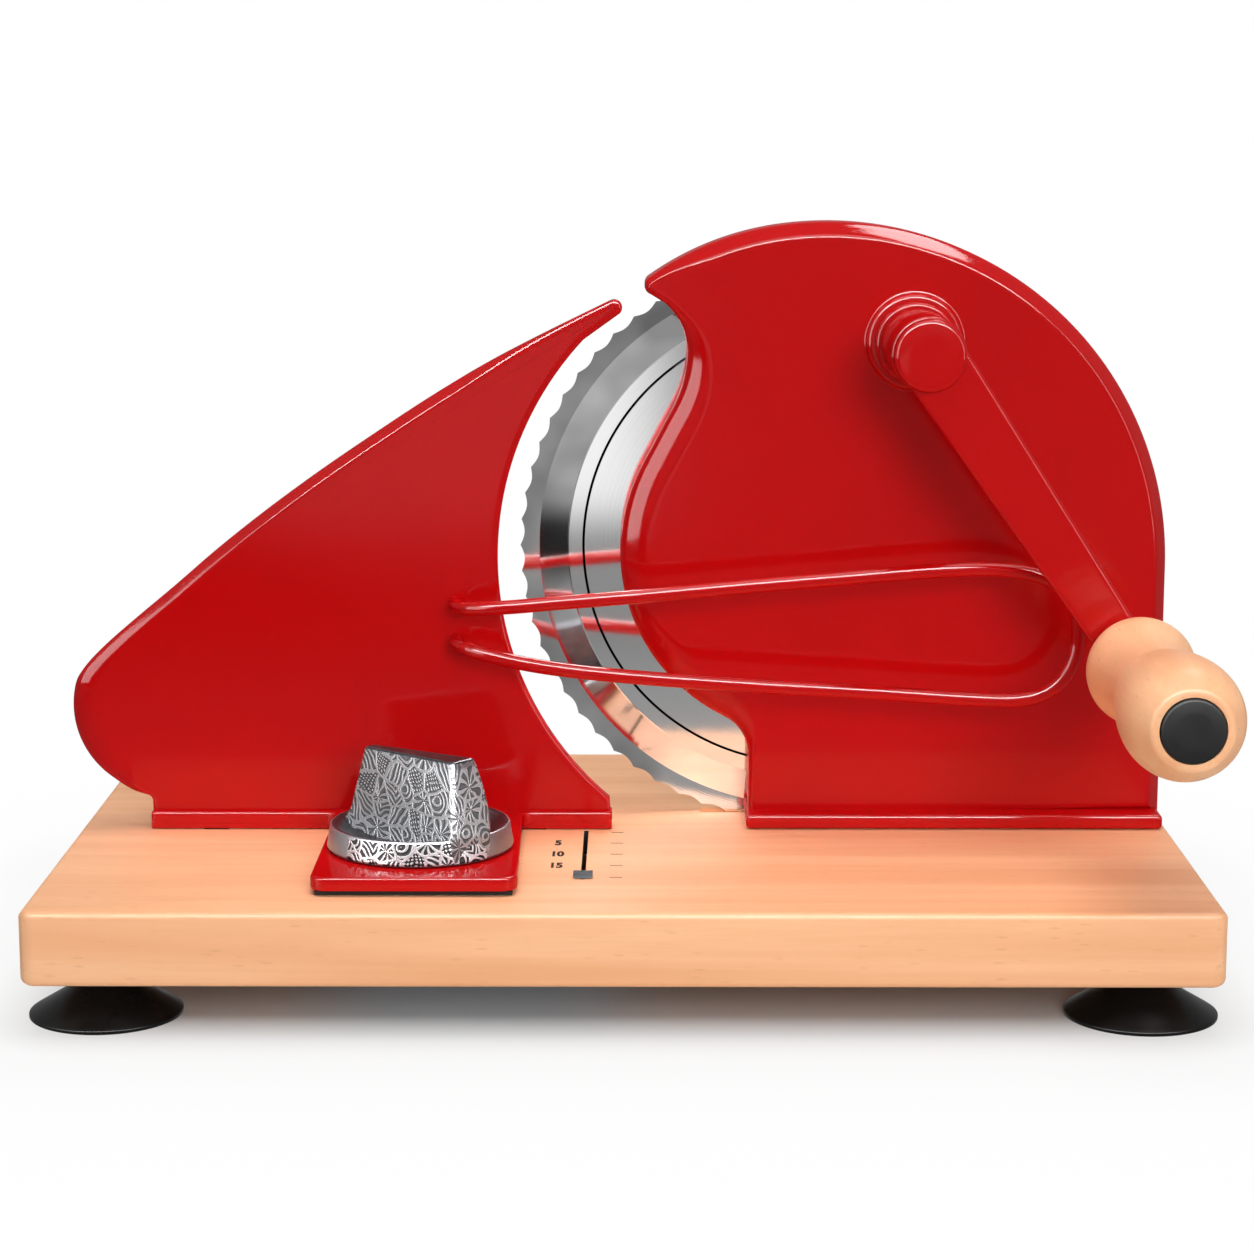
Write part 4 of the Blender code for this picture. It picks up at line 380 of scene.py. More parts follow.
def beech(name, pale, deep, along, roughness):
    """Steamed beech under a satin lacquer: even pinkish wood with short darker ray flecks.

    along is the axis of the grain: 0 for x, 1 for y.
    """
    made, tree, shader, where = new_finish(name, pale, roughness,
                                           Specular_IOR_Level=0.12, Coat_Weight=0.04,
                                           Coat_Roughness=0.25)
    stretch = [1.0, 1.0, 1.0]
    stretch[along] = 0.05
    grain_space = add(tree, "Mapping", {"Vector": where, "Scale": stretch})
    # Growth bands 8 to 20 mm wide, fibres about 0.6 mm wide and flecks about 0.8 by 4 mm
    bands = add(tree, "TexNoise", {"Vector": grain_space, "Scale": 75.0, "Detail": 3.0,
                                   "Distortion": 0.6})
    fibres = add(tree, "TexNoise", {"Vector": grain_space, "Scale": 900.0, "Detail": 2.0})
    fleck_stretch = [1.0, 1.0, 1.0]
    fleck_stretch[along] = 0.2
    fleck_space = add(tree, "Mapping", {"Vector": where, "Scale": fleck_stretch})
    flecks = add(tree, "TexVoronoi", {"Vector": fleck_space, "Scale": 620.0})
    fleck = add(tree, "MapRange", {"Value": flecks.outputs["Distance"], 1: 0.12, 2: 0.30,
                                   3: 1.0, 4: 0.0})
    draw = add(tree, "SeparateColor", {"Color": flecks.outputs["Color"]})
    picked = add(tree, "MapRange", {"Value": draw, 1: 0.55, 2: 0.9})
    fleck_share = add(tree, "Math", {0: fleck, 1: picked}, operation="MULTIPLY")
    band_share = add(tree, "MapRange", {"Value": bands, 1: 0.35, 2: 0.7})
    base = add(tree, "Mix", {0: band_share, 6: pale, 7: deep}, data_type="RGBA")
    fibre_share = add(tree, "MapRange", {"Value": fibres, 1: 0.4, 2: 0.75, 3: 0.0, 4: 0.30})
    fine = add(tree, "Mix", {0: fibre_share, 6: base, 7: deep}, data_type="RGBA")
    fleck_strength = add(tree, "Math", {0: fleck_share, 1: 0.2}, operation="MULTIPLY")
    colour = add(tree, "Mix", {0: fleck_strength, 6: fine, 7: "#B9794E"}, data_type="RGBA")
    rough = add(tree, "MapRange", {"Value": fibres, 3: roughness - 0.06, 4: roughness + 0.08})
    height = add(tree, "Math", {0: fibres, 1: 0.6, 2: bands}, operation="MULTIPLY_ADD")
    bump = add(tree, "Bump", {"Strength": 0.25, "Distance": 0.00006, "Height": height})
    feed(tree, shader, Base_Color=colour, Roughness=rough, Normal=bump)
    return made


def from_axis(tree, where, centre, across, up):
    """The two coordinates across an axis and the distance from it."""
    moved = add(tree, "Mapping", {"Vector": where, "Location": [-c for c in centre]})
    split = add(tree, "SeparateXYZ", {0: moved})
    a, b = split.outputs[across], split.outputs[up]
    squares = add(tree, "Math", {0: a, 1: a}, operation="MULTIPLY")
    both = add(tree, "Math", {0: b, 1: b, 2: squares}, operation="MULTIPLY_ADD")
    distance = add(tree, "Math", {0: both, 1: 0.5}, operation="POWER")
    return a, b, distance


def blade_steel():
    """Polished stainless blade: turned rings and a ground edge, so each band mirrors its own way."""
    made, tree, shader, where = new_finish("polished_blade_steel", "#E4E4E5", 0.14, 1.0)
    _, _, radius = from_axis(tree, where, place(*BLADE), 0, 2)
    # Turning marks drawn 0.35 mm apart, coarser than real ones, so that they show
    rings = add(tree, "TexNoise", {"W": radius, "Scale": 2800.0, "Detail": 2.0},
                noise_dimensions="1D")
    # Soft clouds darken the ground band's colour by up to a half: painted reflections of a cloudy
    # room
    reflection_noise = add(tree, "TexNoise", {"Vector": where, "Scale": 30.0, "Detail": 2.0})
    band = within(tree, radius, HOLLOW_RADIUS, BLADE_RADIUS + 0.01, 0.0001)
    groove = within(tree, radius, GROOVE_RADIUS - GROOVE_WIDTH, GROOVE_RADIUS + GROOVE_WIDTH,
                    0.00005)
    painted_reflection_clouds = add(tree, "MapRange", {"Value": reflection_noise, 1: 0.36, 2: 0.64, 3: 0.5, 4: 1.0})
    shade = add(tree, "Mix", {0: band, 2: 1.0, 3: painted_reflection_clouds})
    toned = add(tree, "Mix", {0: 1.0, 6: "#F6F6F6", 7: shade},
                data_type="RGBA", blend_type="MULTIPLY")
    # The groove is painted near-black: painted shade in it
    colour = add(tree, "Mix", {0: groove, 6: toned, 7: "#050506"}, data_type="RGBA")
    rough = add(tree, "MapRange", {"Value": rings, 3: 0.05, 4: 0.11})
    # The ground band falls away outwards and its edge turns back, as heights in metres
    fall = add(tree, "MapRange", {"Value": radius, 1: HOLLOW_RADIUS, 2: GRIND_RADIUS, 3: 0.0,
                                  4: -BAND_SLOPE * (GRIND_RADIUS - HOLLOW_RADIUS)})
    rise = add(tree, "MapRange", {"Value": radius, 1: GRIND_RADIUS, 2: BLADE_RADIUS, 3: 0.0,
                                  4: EDGE_SLOPE * (BLADE_RADIUS - GRIND_RADIUS)})
    height = add(tree, "Math", {0: fall, 1: rise}, operation="ADD")
    ground = add(tree, "Bump", {"Strength": 1.0, "Distance": 1.0, "Height": height})
    bump = add(tree, "Bump", {"Strength": 0.12, "Distance": 0.00002,
                              "Height": rings, "Normal": ground})
    feed(tree, shader, Base_Color=colour, Roughness=rough, Normal=bump)
    return made


def plain_metal(name, colour, roughness, grain):
    """A machined or plated metal with fine, faintly streaked marks. grain is in mm."""
    made, tree, shader, where = new_finish(name, colour, roughness, 1.0)
    marks = add(tree, "TexNoise", {"Vector": where, "Scale": 1000.0 / grain, "Detail": 2.0})
    clouds = add(tree, "TexNoise", {"Vector": where, "Scale": 90.0, "Detail": 2.0})
    both = add(tree, "Math", {0: marks, 1: clouds}, operation="MULTIPLY")
    rough = add(tree, "MapRange", {"Value": both, 1: 0.1, 2: 0.4,
                                   3: roughness - 0.08, 4: roughness + 0.12})
    shade = add(tree, "MapRange", {"Value": clouds, 1: 0.3, 2: 0.7, 3: 0.9, 4: 1.05})
    toned = add(tree, "Mix", {0: 1.0, 6: colour, 7: shade}, data_type="RGBA", blend_type="MULTIPLY")
    bump = add(tree, "Bump", {"Strength": 0.15, "Distance": 0.00002, "Height": marks})
    feed(tree, shader, Base_Color=toned, Roughness=rough, Normal=bump)
    return made


def moulded(name, colour, roughness, grain):
    """Moulded plastic or rubber with a fine spark-eroded texture. grain is in mm."""
    made, tree, shader, where = new_finish(name, colour, roughness, Specular_IOR_Level=0.15)
    pits = add(tree, "TexNoise", {"Vector": where, "Scale": 1000.0 / grain, "Detail": 1.0})
    wear = add(tree, "TexNoise", {"Vector": where, "Scale": 60.0, "Detail": 3.0})
    rough = add(tree, "MapRange", {"Value": wear, 1: 0.3, 2: 0.7,
                                   3: roughness - 0.05, 4: roughness + 0.1})
    bump = add(tree, "Bump", {"Strength": 0.2, "Distance": 0.00004, "Height": pits})
    feed(tree, shader, Roughness=rough, Normal=bump)
    return made


def engraved(tree, u, v, cell):
    """A chased mosaic of rings, fans, hatching and dots, as a wave: 1 on a raised line.

    u and v are places on the surface in metres, and cell is the mosaic's size in metres.
    """
    plain = add(tree, "CombineXYZ", {0: u, 1: v})
    # The hand of the engraver: every line wanders by up to half a millimetre
    wander = add(tree, "TexNoise", {"Vector": plain, "Scale": 230.0, "Detail": 0.0},
                 noise_dimensions="2D")
    flat = add(tree, "Mix", {0: 0.0016, 4: plain, 5: wander.outputs["Color"]},
               data_type="VECTOR", clamp_factor=False)
    tiles = add(tree, "TexVoronoi", {"Vector": flat, "Scale": 1 / cell, "Randomness": 0.9},
                voronoi_dimensions="2D")
    edges = add(tree, "TexVoronoi", {"Vector": flat, "Scale": 1 / cell, "Randomness": 0.9},
                voronoi_dimensions="2D", feature="DISTANCE_TO_EDGE")
    pick = add(tree, "SeparateColor", {"Color": tiles.outputs["Color"]})
    inside = add(tree, "VectorMath", {0: flat, 1: tiles.outputs["Position"]}, operation="SUBTRACT")
    spin = add(tree, "Math", {0: pick.outputs[1], 1: pi}, operation="MULTIPLY")
    turned_in = add(tree, "VectorRotate", {"Vector": inside, "Angle": spin}, rotation_type="Z_AXIS")
    local = add(tree, "SeparateXYZ", {0: turned_in})
    reach = add(tree, "VectorMath", {0: inside}, operation="LENGTH")
    angle = add(tree, "Math", {0: local.outputs[1], 1: local.outputs[0]}, operation="ARCTAN2")
    folded = add(tree, "Math", {0: local.outputs[1]}, operation="ABSOLUTE")
    slanted = add(tree, "Math", {0: local.outputs[0], 1: folded}, operation="ADD")
    pitch = 2 * pi / LINE_PITCH
    waves = []
    for value, rate in ((reach, pitch), (angle, 9.0),
                        (slanted, pitch * 0.8), (local.outputs[0], pitch),
                        (local.outputs[1], pitch)):
        turns = add(tree, "Math", {0: value, 1: rate}, operation="MULTIPLY")
        waves.append(add(tree, "Math", {0: turns}, operation="COSINE"))
    rings, rays, chevrons, hatching, across = waves
    dots = add(tree, "Math", {0: hatching, 1: across}, operation="MULTIPLY")
    motif = rings
    for other, share in ((rays, 0.30), (chevrons, 0.52), (hatching, 0.72), (dots, 0.86)):
        later = add(tree, "Math", {0: pick.outputs[0], 1: share}, operation="GREATER_THAN")
        motif = add(tree, "Mix", {0: later, 2: motif, 3: other})
    border = add(tree, "MapRange", {"Value": edges, 1: 0.03, 2: 0.14, 3: 1.0, 4: -1.0})
    return add(tree, "Math", {0: motif, 1: border}, operation="MAXIMUM")


def within(tree, value, low, high, soft):
    """1 where a value lies between two limits, fading out over a soft margin."""
    rise = add(tree, "MapRange", {"Value": value, 1: low - soft, 2: low})
    fall = add(tree, "MapRange", {"Value": value, 1: high, 2: high + soft, 3: 1.0, 4: 0.0})
    return add(tree, "Math", {0: rise, 1: fall}, operation="MULTIPLY")


def cast_zinc(name, on_skirt, ground, outline, line):
    """Die-cast zinc with a raised mosaic: bright worn lines with painted shade beside them, on a
    duller ground.

    Dirt and oxide dull the chased faces, so they mirror much less than the bare metal round them.
    The skirt is chased round the front of its wall, and the fin on its broad faces and its ends.
    """
    made, tree, shader, where = new_finish(name, "#8C8D90", 0.3, 0.8, Specular_IOR_Level=0.3)
    centre = place(KNOB.x, KNOB.y, 0)
    height = add(tree, "SeparateXYZ", {0: where}).outputs[2]
    low = KNOB_LOW.z + BOARD_HIGH.z
    if on_skirt:
        a, b, radius = from_axis(tree, where, centre, 0, 1)
        round_it = add(tree, "Math", {0: b, 1: a}, operation="ARCTAN2")
        u = add(tree, "Math", {0: round_it, 1: KNOB_RADIUS}, operation="MULTIPLY")
        band = within(tree, height, low + 0.0004, low + SKIRT_HEIGHT - 0.0007, 0.0002)
        front = within(tree, round_it, *(radians(end) for end in CHASED_ARC), 0.03)
        outside = add(tree, "Math", {0: radius, 1: KNOB_RADIUS - 0.0016}, operation="GREATER_THAN")
        on_wall = add(tree, "Math", {0: band, 1: outside}, operation="MULTIPLY")
        mask = add(tree, "Math", {0: on_wall, 1: front}, operation="MULTIPLY")
        cut = engraved(tree, u, height, SKIRT_CELL)
    else:
        turned_back = add(tree, "Mapping", {"Vector": where, "Location": [-c for c in centre]})
        level = add(tree, "VectorRotate", {"Vector": turned_back,
                                           "Angle": radians(-FIN_TURN)},
                    rotation_type="Z_AXIS")
        along = add(tree, "SeparateXYZ", {0: level})
        sum_up = add(tree, "Math", {0: along.outputs[0], 1: along.outputs[1]}, operation="ADD")
        facing = add(tree, "SeparateXYZ", {0: add(tree, "NewGeometry").outputs["Normal"]})
        upright = add(tree, "MapRange", {"Value": facing.outputs[2], 1: 0.45, 2: 0.6, 3: 1.0,
                                         4: 0.0})
        high = within(tree, height, low + 0.0005, KNOB_HIGH.z + BOARD_HIGH.z - 0.0007, 0.0003)
        mask = add(tree, "Math", {0: upright, 1: high}, operation="MULTIPLY")
        cut = engraved(tree, sum_up, height, FIN_CELL)
    depth = add(tree, "MapRange", {"Value": cut, 1: -1.0, 2: 1.0})
    # The outline colour is painted shade on the flanks of each raised line
    chased = add(tree, "ValToRGB", {"Fac": depth}, stops=(
        (0.0, ground), (1.0, line), (0.34, ground), (0.50, outline), (0.58, outline),
        (0.70, line)))
    clouds = add(tree, "TexNoise", {"Vector": where, "Scale": 140.0, "Detail": 3.0})
    # The unchased zinc is painted dark as shade, which the dished cove and the fin hold; the skirt's
    # outer wall keeps a plain zinc colour
    metal = add(tree, "Mix", {0: clouds, 6: "#232426", 7: "#55565A"}, data_type="RGBA")
    if on_skirt:
        metal = add(tree, "Mix", {0: outside, 6: metal, 7: "#94959A"}, data_type="RGBA")
    colour = add(tree, "Mix", {0: mask, 6: metal, 7: chased}, data_type="RGBA")
    dulled = add(tree, "MapRange", {"Value": mask, 3: 0.95, 4: 0.22})
    relief = add(tree, "Math", {0: cut, 1: mask}, operation="MULTIPLY")
    rough = add(tree, "MapRange", {"Value": relief, 1: -1.0, 3: 0.42, 4: 0.26})
    bump = add(tree, "Bump", {"Strength": 0.4, "Distance": 0.00015, "Height": relief})
    feed(tree, shader, Base_Color=colour, Metallic=dulled, Roughness=rough, Normal=bump)
    return made


def printing_ink():
    """Black screen-printing ink: a dull film, thin enough for the wood's fibres to break it."""
    made, tree, shader, where = new_finish("screen_print_ink", "#120F0B", 0.7,
                                           Specular_IOR_Level=0.1)
    breaks = add(tree, "TexNoise", {"Vector": where, "Scale": 2500.0, "Detail": 2.0})
    share = add(tree, "MapRange", {"Value": breaks, 1: 0.55, 2: 0.75})
    colour = add(tree, "Mix", {0: share, 6: "#17140F", 7: "#4A3B2C"}, data_type="RGBA")
    feed(tree, shader, Base_Color=colour)
    return made


def arc(cx, cy, radius, start, end, step=5.0):
    """Points on an arc, its angles in degrees, no further apart than a step."""
    count = max(2, ceil(abs(end - start) / step))
    angles = [radians(start + (end - start) * i / count) for i in range(count + 1)]
    return [(cx + radius * cos(a), cy + radius * sin(a)) for a in angles]


def rounded(points, closed=False, count=5):
    """A line through (a, b) points, with the corners given as (a, b, radius) rounded."""
    made = []
    for i, (a, b, *radius) in enumerate(points):
        if not radius or (not closed and i in (0, len(points) - 1)):
            made.append((a, b))
            continue
        corner = Vector((a, b))
        back = (Vector(points[i - 1][:2]) - corner).normalized()
        on = (Vector(points[(i + 1) % len(points)][:2]) - corner).normalized()
        half = back.angle(on) / 2
        centre = corner + (back + on).normalized() * radius[0] / sin(half)
        reach = radius[0] * cos(half) / sin(half)
        first = (corner + back * reach - centre).normalized()
        last = (corner + on * reach - centre).normalized()
        made += [tuple(centre + first.slerp(last, k / count) * radius[0]) for k in range(count + 1)]
    return made


def smooth_line(points, per_span):
    """More points on a smooth curve through a line's own points."""
    made = []
    for i in range(len(points) - 1):
        p0, p1 = points[max(i - 1, 0)], points[i]
        p2, p3 = points[i + 1], points[min(i + 2, len(points) - 1)]
        for step in range(per_span):
            t = step / per_span
            made.append(tuple(
                0.5 * (2 * b + (c - a) * t + (2 * a - 5 * b + 4 * c - d) * t * t
                       + (3 * b - a - 3 * c + d) * t ** 3)
                for a, b, c, d in zip(p0, p1, p2, p3)))
    made.append(tuple(points[-1]))
    return made


def bulged(start, end, rise, count):
    """Points between two ends, on an arc that bulges to the right of the way from start."""
    start, end = Vector(start), Vector(end)
    way = end - start
    out = Vector((way.y, -way.x)).normalized()
    return [tuple(start + way * (i / count) + out * 4 * rise * (i / count) * (1 - i / count))
            for i in range(1, count)]


def inward(outline):
    """For each point of an outline that runs anticlockwise, the way in from its edge."""
    ways = []
    for i, point in enumerate(outline):
        here = Vector(point)
        before = (here - Vector(outline[i - 1])).normalized()
        after = (Vector(outline[(i + 1) % len(outline)]) - here).normalized()
        way = Vector((-before.y - after.y, before.x + after.x)).normalized()
        ways.append(way / max(0.6, way.dot(Vector((-before.y, before.x)))))
    return ways


def extruded(shape, edges):
    """Extrude a loop of edges, and return the new vertices and the new loop."""
    grown = bmesh.ops.extrude_edge_only(shape, edges=edges)["geom"]
    verts = [v for v in grown if isinstance(v, bmesh.types.BMVert)]
    return verts, [e for e in grown if isinstance(e, bmesh.types.BMEdge) and e.is_boundary]


def stacked(rings, close_last=True):
    """A skin over closed rings of points: the first one's edge is extruded from ring to ring."""
    shape = bmesh.new()
    order = shape.verts.layers.int.new("order")
    verts = [shape.verts.new(co) for co in rings[0]]
    for index, vertex in enumerate(verts):
        vertex[order] = index
    edges = [shape.edges.new((verts[i - 1], verts[i])) for i in range(len(verts))]
    shape.faces.new(verts)
    for ring in rings[1:]:
        verts, edges = extruded(shape, edges)
        for vertex in verts:
            vertex.co = ring[vertex[order]]
    if close_last:
        shape.faces.new(sorted(verts, key=lambda v: v[order]))
    bmesh.ops.recalc_face_normals(shape, faces=shape.faces)
    return shape


def turned(profile, centre, axis="Y", steps=64):
    """A line of (radius, place along the axis) spun about an axis through a centre."""
    shape = bmesh.new()
    along = Vector((0, 1, 0)) if axis == "Y" else Vector((0, 0, 1))
    verts = [shape.verts.new(Vector((r, 0, 0)) + along * h) for r, h in profile]
    for first, second in zip(verts, verts[1:]):
        shape.edges.new((first, second))
    bmesh.ops.spin(shape, geom=shape.verts[:] + shape.edges[:], cent=(0, 0, 0), axis=along,
                   angle=2 * pi, steps=steps, use_merge=True)
    bmesh.ops.remove_doubles(shape, verts=shape.verts, dist=1e-6)
    bmesh.ops.recalc_face_normals(shape, faces=shape.faces)
    bmesh.ops.translate(shape, vec=centre, verts=shape.verts)
    return shape


def prism(points, along):
    """A face through points, extruded along a vector."""
    shape = bmesh.new()
    face = shape.faces.new([shape.verts.new(point) for point in points])
    grown = bmesh.ops.extrude_face_region(shape, geom=[face])["geom"]
    bmesh.ops.translate(shape, vec=along, verts=[v for v in grown
                                                  if isinstance(v, bmesh.types.BMVert)])
    bmesh.ops.recalc_face_normals(shape, faces=shape.faces)
    return shape


def round_edges(shape, edges, width, segments=4):
    """Bevel edges: one segment is a chamfer, and more are a round."""
    bmesh.ops.bevel(shape, geom=list(edges), offset=width, offset_type="OFFSET",
                    segments=segments, profile=0.5, affect="EDGES", material=-1)


def block(low, high, round_off=0.0):
    """A box between two corners, its edges rounded by a width."""
    shape = bmesh.new()
    bmesh.ops.create_cube(shape, size=1.0)
    bmesh.ops.scale(shape, vec=[b - a for a, b in zip(low, high)], verts=shape.verts)
    bmesh.ops.translate(shape, vec=[(a + b) / 2 for a, b in zip(low, high)], verts=shape.verts)
    if round_off:
        round_edges(shape, shape.edges, round_off)
    return shape


def rod(radius, start, end, sides=32):
    """A cylinder between two points given from the board."""
    start, end = Vector(start), Vector(end)
    shape = bmesh.new()
    bmesh.ops.create_cone(shape, cap_ends=True, segments=sides, radius1=radius,
                          radius2=radius, depth=(end - start).length)
    turn = (end - start).to_track_quat("Z", "X").to_matrix()
    bmesh.ops.rotate(shape, cent=(0, 0, 0), matrix=turn, verts=shape.verts)
    bmesh.ops.translate(shape, vec=(start + end) / 2, verts=shape.verts)
    return shape


def mesh_of(name, shapes):
    """One mesh from shapes given from the board."""
    whole = bmesh.new()
    for shape in shapes:
        part = bpy.data.meshes.new(name)
        shape.to_mesh(part)
        shape.free()
        whole.from_mesh(part)
        bpy.data.meshes.remove(part)
    bmesh.ops.translate(whole, vec=place(0, 0, 0), verts=whole.verts)
    mesh = bpy.data.meshes.new(name)
    whole.to_mesh(mesh)
    whole.free()
    return mesh


def new_object(name, data):
    """An object in the scene, at the origin."""
    made = bpy.data.objects.new(name, data)
    bpy.context.scene.collection.objects.link(made)
    return made


def evaluated(item):
    """The mesh that an object comes to, in its own coordinates. The object is removed."""
    graph = bpy.context.evaluated_depsgraph_get()
    mesh = bpy.data.meshes.new_from_object(item.evaluated_get(graph))
    bpy.data.objects.remove(item)
    return mesh


def carve(mesh, cutters):
    """A mesh with shapes cut out of it."""
    item = new_object("carved", mesh)
    tools = []
    for index, shape in enumerate(cutters):
        tool = new_object(f"tool_{index}", mesh_of("tool", [shape]))
        tools.append(tool)
        made = item.modifiers.new("cut", "BOOLEAN")
        made.operation = "DIFFERENCE"
        made.solver = "EXACT"
        made.object = tool
    carved = evaluated(item)
    for tool in tools:
        bpy.data.objects.remove(tool)
    return carved


def piece(name, shape, finish, body, stands_for=(), sharp=35):
    """A mesh, or a shape or shapes given from the board, as a piece that rides on a body."""
    if isinstance(shape, bpy.types.Mesh):
        mesh = shape
    else:
        mesh = mesh_of(name, shape if isinstance(shape, list) else [shape])
    mesh.name = name
    mesh.shade_smooth()
    mesh.set_sharp_from_angle(angle=radians(sharp))
    mesh.materials.clear()
    mesh.materials.append(finish)
    made = new_object(name, mesh)
    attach(made, body)
    if stands_for:
        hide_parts(*stands_for)
    return made


def rounded_slab(outline, low, high, width, back_width, axis="Y"):
    """A plate over an anticlockwise outline, its edges rounded by a width at each of its two levels.

    Across Y the outline is (x, z), and across Z it is (x, y).
    """
    ways = inward(outline)
    steps = 5
    stations = [(width + SIDE_LAND, low)]
    for k in range(steps + 1):
        angle = pi / 2 * (1 - k / steps)
        stations.append((width * (1 - cos(angle)), low + width * (1 - sin(angle))))
    for k in range(steps + 1):
        angle = pi / 2 * k / steps
        stations.append((back_width * (1 - cos(angle)), high - back_width * (1 - sin(angle))))
    stations.append((back_width + SIDE_LAND, high))
    rings = []
    for inset, level in stations:
        flat = [Vector(point) + way * inset for point, way in zip(outline, ways)]
        rings.append([(p.x, level, p.y) if axis == "Y" else (p.x, p.y, level) for p in flat])
    return stacked(rings)


def make_board(wood, dark):
    """The beech board with its slots, and the recess and screw holes underneath."""
    half = BOARD_LENGTH / 2
    shape = block((-half, 0, -BOARD_THICKNESS), (half, BOARD_DEPTH, 0))
    upright = [e for e in shape.edges if abs(e.verts[0].co.z - e.verts[1].co.z) > 0.001]
    round_edges(shape, upright, BOARD_CORNER_CUT, 1)
    round_edges(shape, shape.edges, BOARD_EDGE_ROUND, 4)

    ceiling = box_of("thickness_rack")[1].z + GAP
    room = SLOT_ROOM
    reach = sqrt(BLADE_RADIUS ** 2 - BLADE.z ** 2) + 2 * room
    over, under = OVERSHOOT, -BOARD_THICKNESS - OVERSHOOT
    slot_low = (POINTER.x - POINTER_SLOT_HALF, POINTER_LOW.y - GAP, ceiling - over)
    slot_high = (POINTER.x + POINTER_SLOT_HALF, POINTER_HIGH.y + POINTER_TRAVEL + GAP, over)
    spindle = SPINDLE_SLOT_HALF
    ledge = COVER_LEDGE
    cutters = [
        block((BLADE.x - reach, BLADE_FRONT_Y - room, BLADE_LOW.z - room),
              (BLADE.x + reach, BLADE_FACE_Y + room, over)),
        block(slot_low, slot_high),
        block((KNOB.x - spindle, KNOB.y - spindle, ceiling - over),
              (KNOB.x + spindle, KNOB.y + THICKNESS_RANGE + spindle, over)),
        block((COVER_LOW.x + ledge, COVER_LOW.y + ledge, under),
              (COVER_HIGH.x - ledge, COVER_HIGH.y - ledge, ceiling)),
        block((COVER_LOW.x - GAP, COVER_LOW.y - GAP, under),
              (COVER_HIGH.x + GAP, COVER_HIGH.y + GAP, COVER_HIGH.z + GAP))]
    for name in ("guide_key_1", "guide_key_2"):
        low, high, _ = box_of(name)
        cutters.append(block((low.x - GAP, PLATE_FOOT_FRONT_Y + GAP, low.z - 2 * GAP),
                             (high.x + GAP, BLADE_FACE_Y + GAP, over)))
    for index in range(3):
        low, high, middle = box_of(f"housing_screw_{index + 1}")
        radius = (high.x - low.x) / 2 + GAP
        cutters.append(rod(radius, (middle.x, middle.y, under),
                           (middle.x, middle.y, low.z + SCREW_SEAT)))
    mesh = carve(mesh_of("beech_base_board", [shape]), cutters)
    board = piece("beech_base_board", mesh, wood, "base", ["base_board"], 30)
    board.data.materials.append(dark)
    # The walls of the pointer's slot are painted near-black: painted shade inside the narrow slot
    low, high, close = place(*slot_low), place(*slot_high), 1e-5
    for face in board.data.polygons:
        middle = face.center
        if (low.x - close < middle.x < high.x + close and low.y < middle.y < high.y
                and low.z < middle.z < BOARD_HIGH.z - close):
            face.material_index = 1


def make_feet(rubber):
    """Four suction cups: a short neck that flares into a thin, wide rim."""
    for corner in ("front_left", "front_right", "rear_left", "rear_right"):
        low, high, middle = box_of("suction_foot_" + corner)
        radius, top, floor = (high.x - low.x) / 2, high.z, low.z
        profile = rounded([
            (0, top), (0.0092, top, 0.0006), (0.0094, top - 0.0035, 0.001),
            (0.0086, top - 0.0045, 0.0012), (0.0126, top - 0.0080, 0.004),
            (radius - 0.0012, floor + 0.0019, 0.004), (radius, floor + 0.0011, 0.0004),
            (radius, floor, 0.0003), (radius - 0.003, floor, 0.0006),
            (0.011, floor + 0.0024, 0.004), (0, floor + 0.0034)])
        foot = turned(profile, (middle.x, middle.y, 0), "Z", 72)
        piece("rubber_foot_" + corner, foot, rubber, "base",
              ["suction_foot_" + corner])


def foot_fillet_centre():
    """Where the fillet between the housing's gullet and its foot turns, as (x, z)."""
    reach = GULLET_RADIUS + FOOT_FILLET_RADIUS
    angle = radians(GULLET_FOOT_ANGLE)
    return BLADE.x + reach * cos(angle), BLADE.z + reach * sin(angle)


def gullet_side(wall):
    """The housing's left edge as (x, z), from its beak down to its foot.

    wall moves the edge inwards: 0 gives the outside, and the wall's thickness the inside.
    """
    leave = radians(GULLET_TOP_ANGLE)
    centre_out = GULLET_RADIUS + BEND_LOWER_RADIUS
    lower_x = BLADE.x + centre_out * cos(leave) + BEND_STRAIGHT * sin(leave)
    lower_z = BLADE.z + centre_out * sin(leave) - BEND_STRAIGHT * cos(leave)
    upper_x = lower_x + BEND_LOWER_RADIUS - BEND_UPPER_RADIUS
    upper_end = BEND_CAVITY_ANGLE if wall else BEND_UPPER_ANGLE
    points = arc(upper_x, lower_z, BEND_UPPER_RADIUS + wall, upper_end, 0, 3)
    points += arc(lower_x, lower_z, BEND_LOWER_RADIUS + wall, 0, GULLET_TOP_ANGLE - 180, 3)[1:]
    steps = 5
    start = Vector(points[-1])
    around = arc(BLADE.x, BLADE.z, GULLET_RADIUS - wall, GULLET_TOP_ANGLE, GULLET_FOOT_ANGLE, 2)
    points += [tuple(start.lerp(Vector(around[0]), k / steps)) for k in range(1, steps)]
    points += around
    fillet_x, fillet_z = foot_fillet_centre()
    points += arc(fillet_x, fillet_z, FOOT_FILLET_RADIUS + wall, GULLET_FOOT_ANGLE - 180, 0, 5)[1:]
    return points


def ease(share):
    """A share kept between 0 and 1 that starts and ends gently."""
    share = min(1.0, max(0.0, share))
    return share * share * (3 - 2 * share)


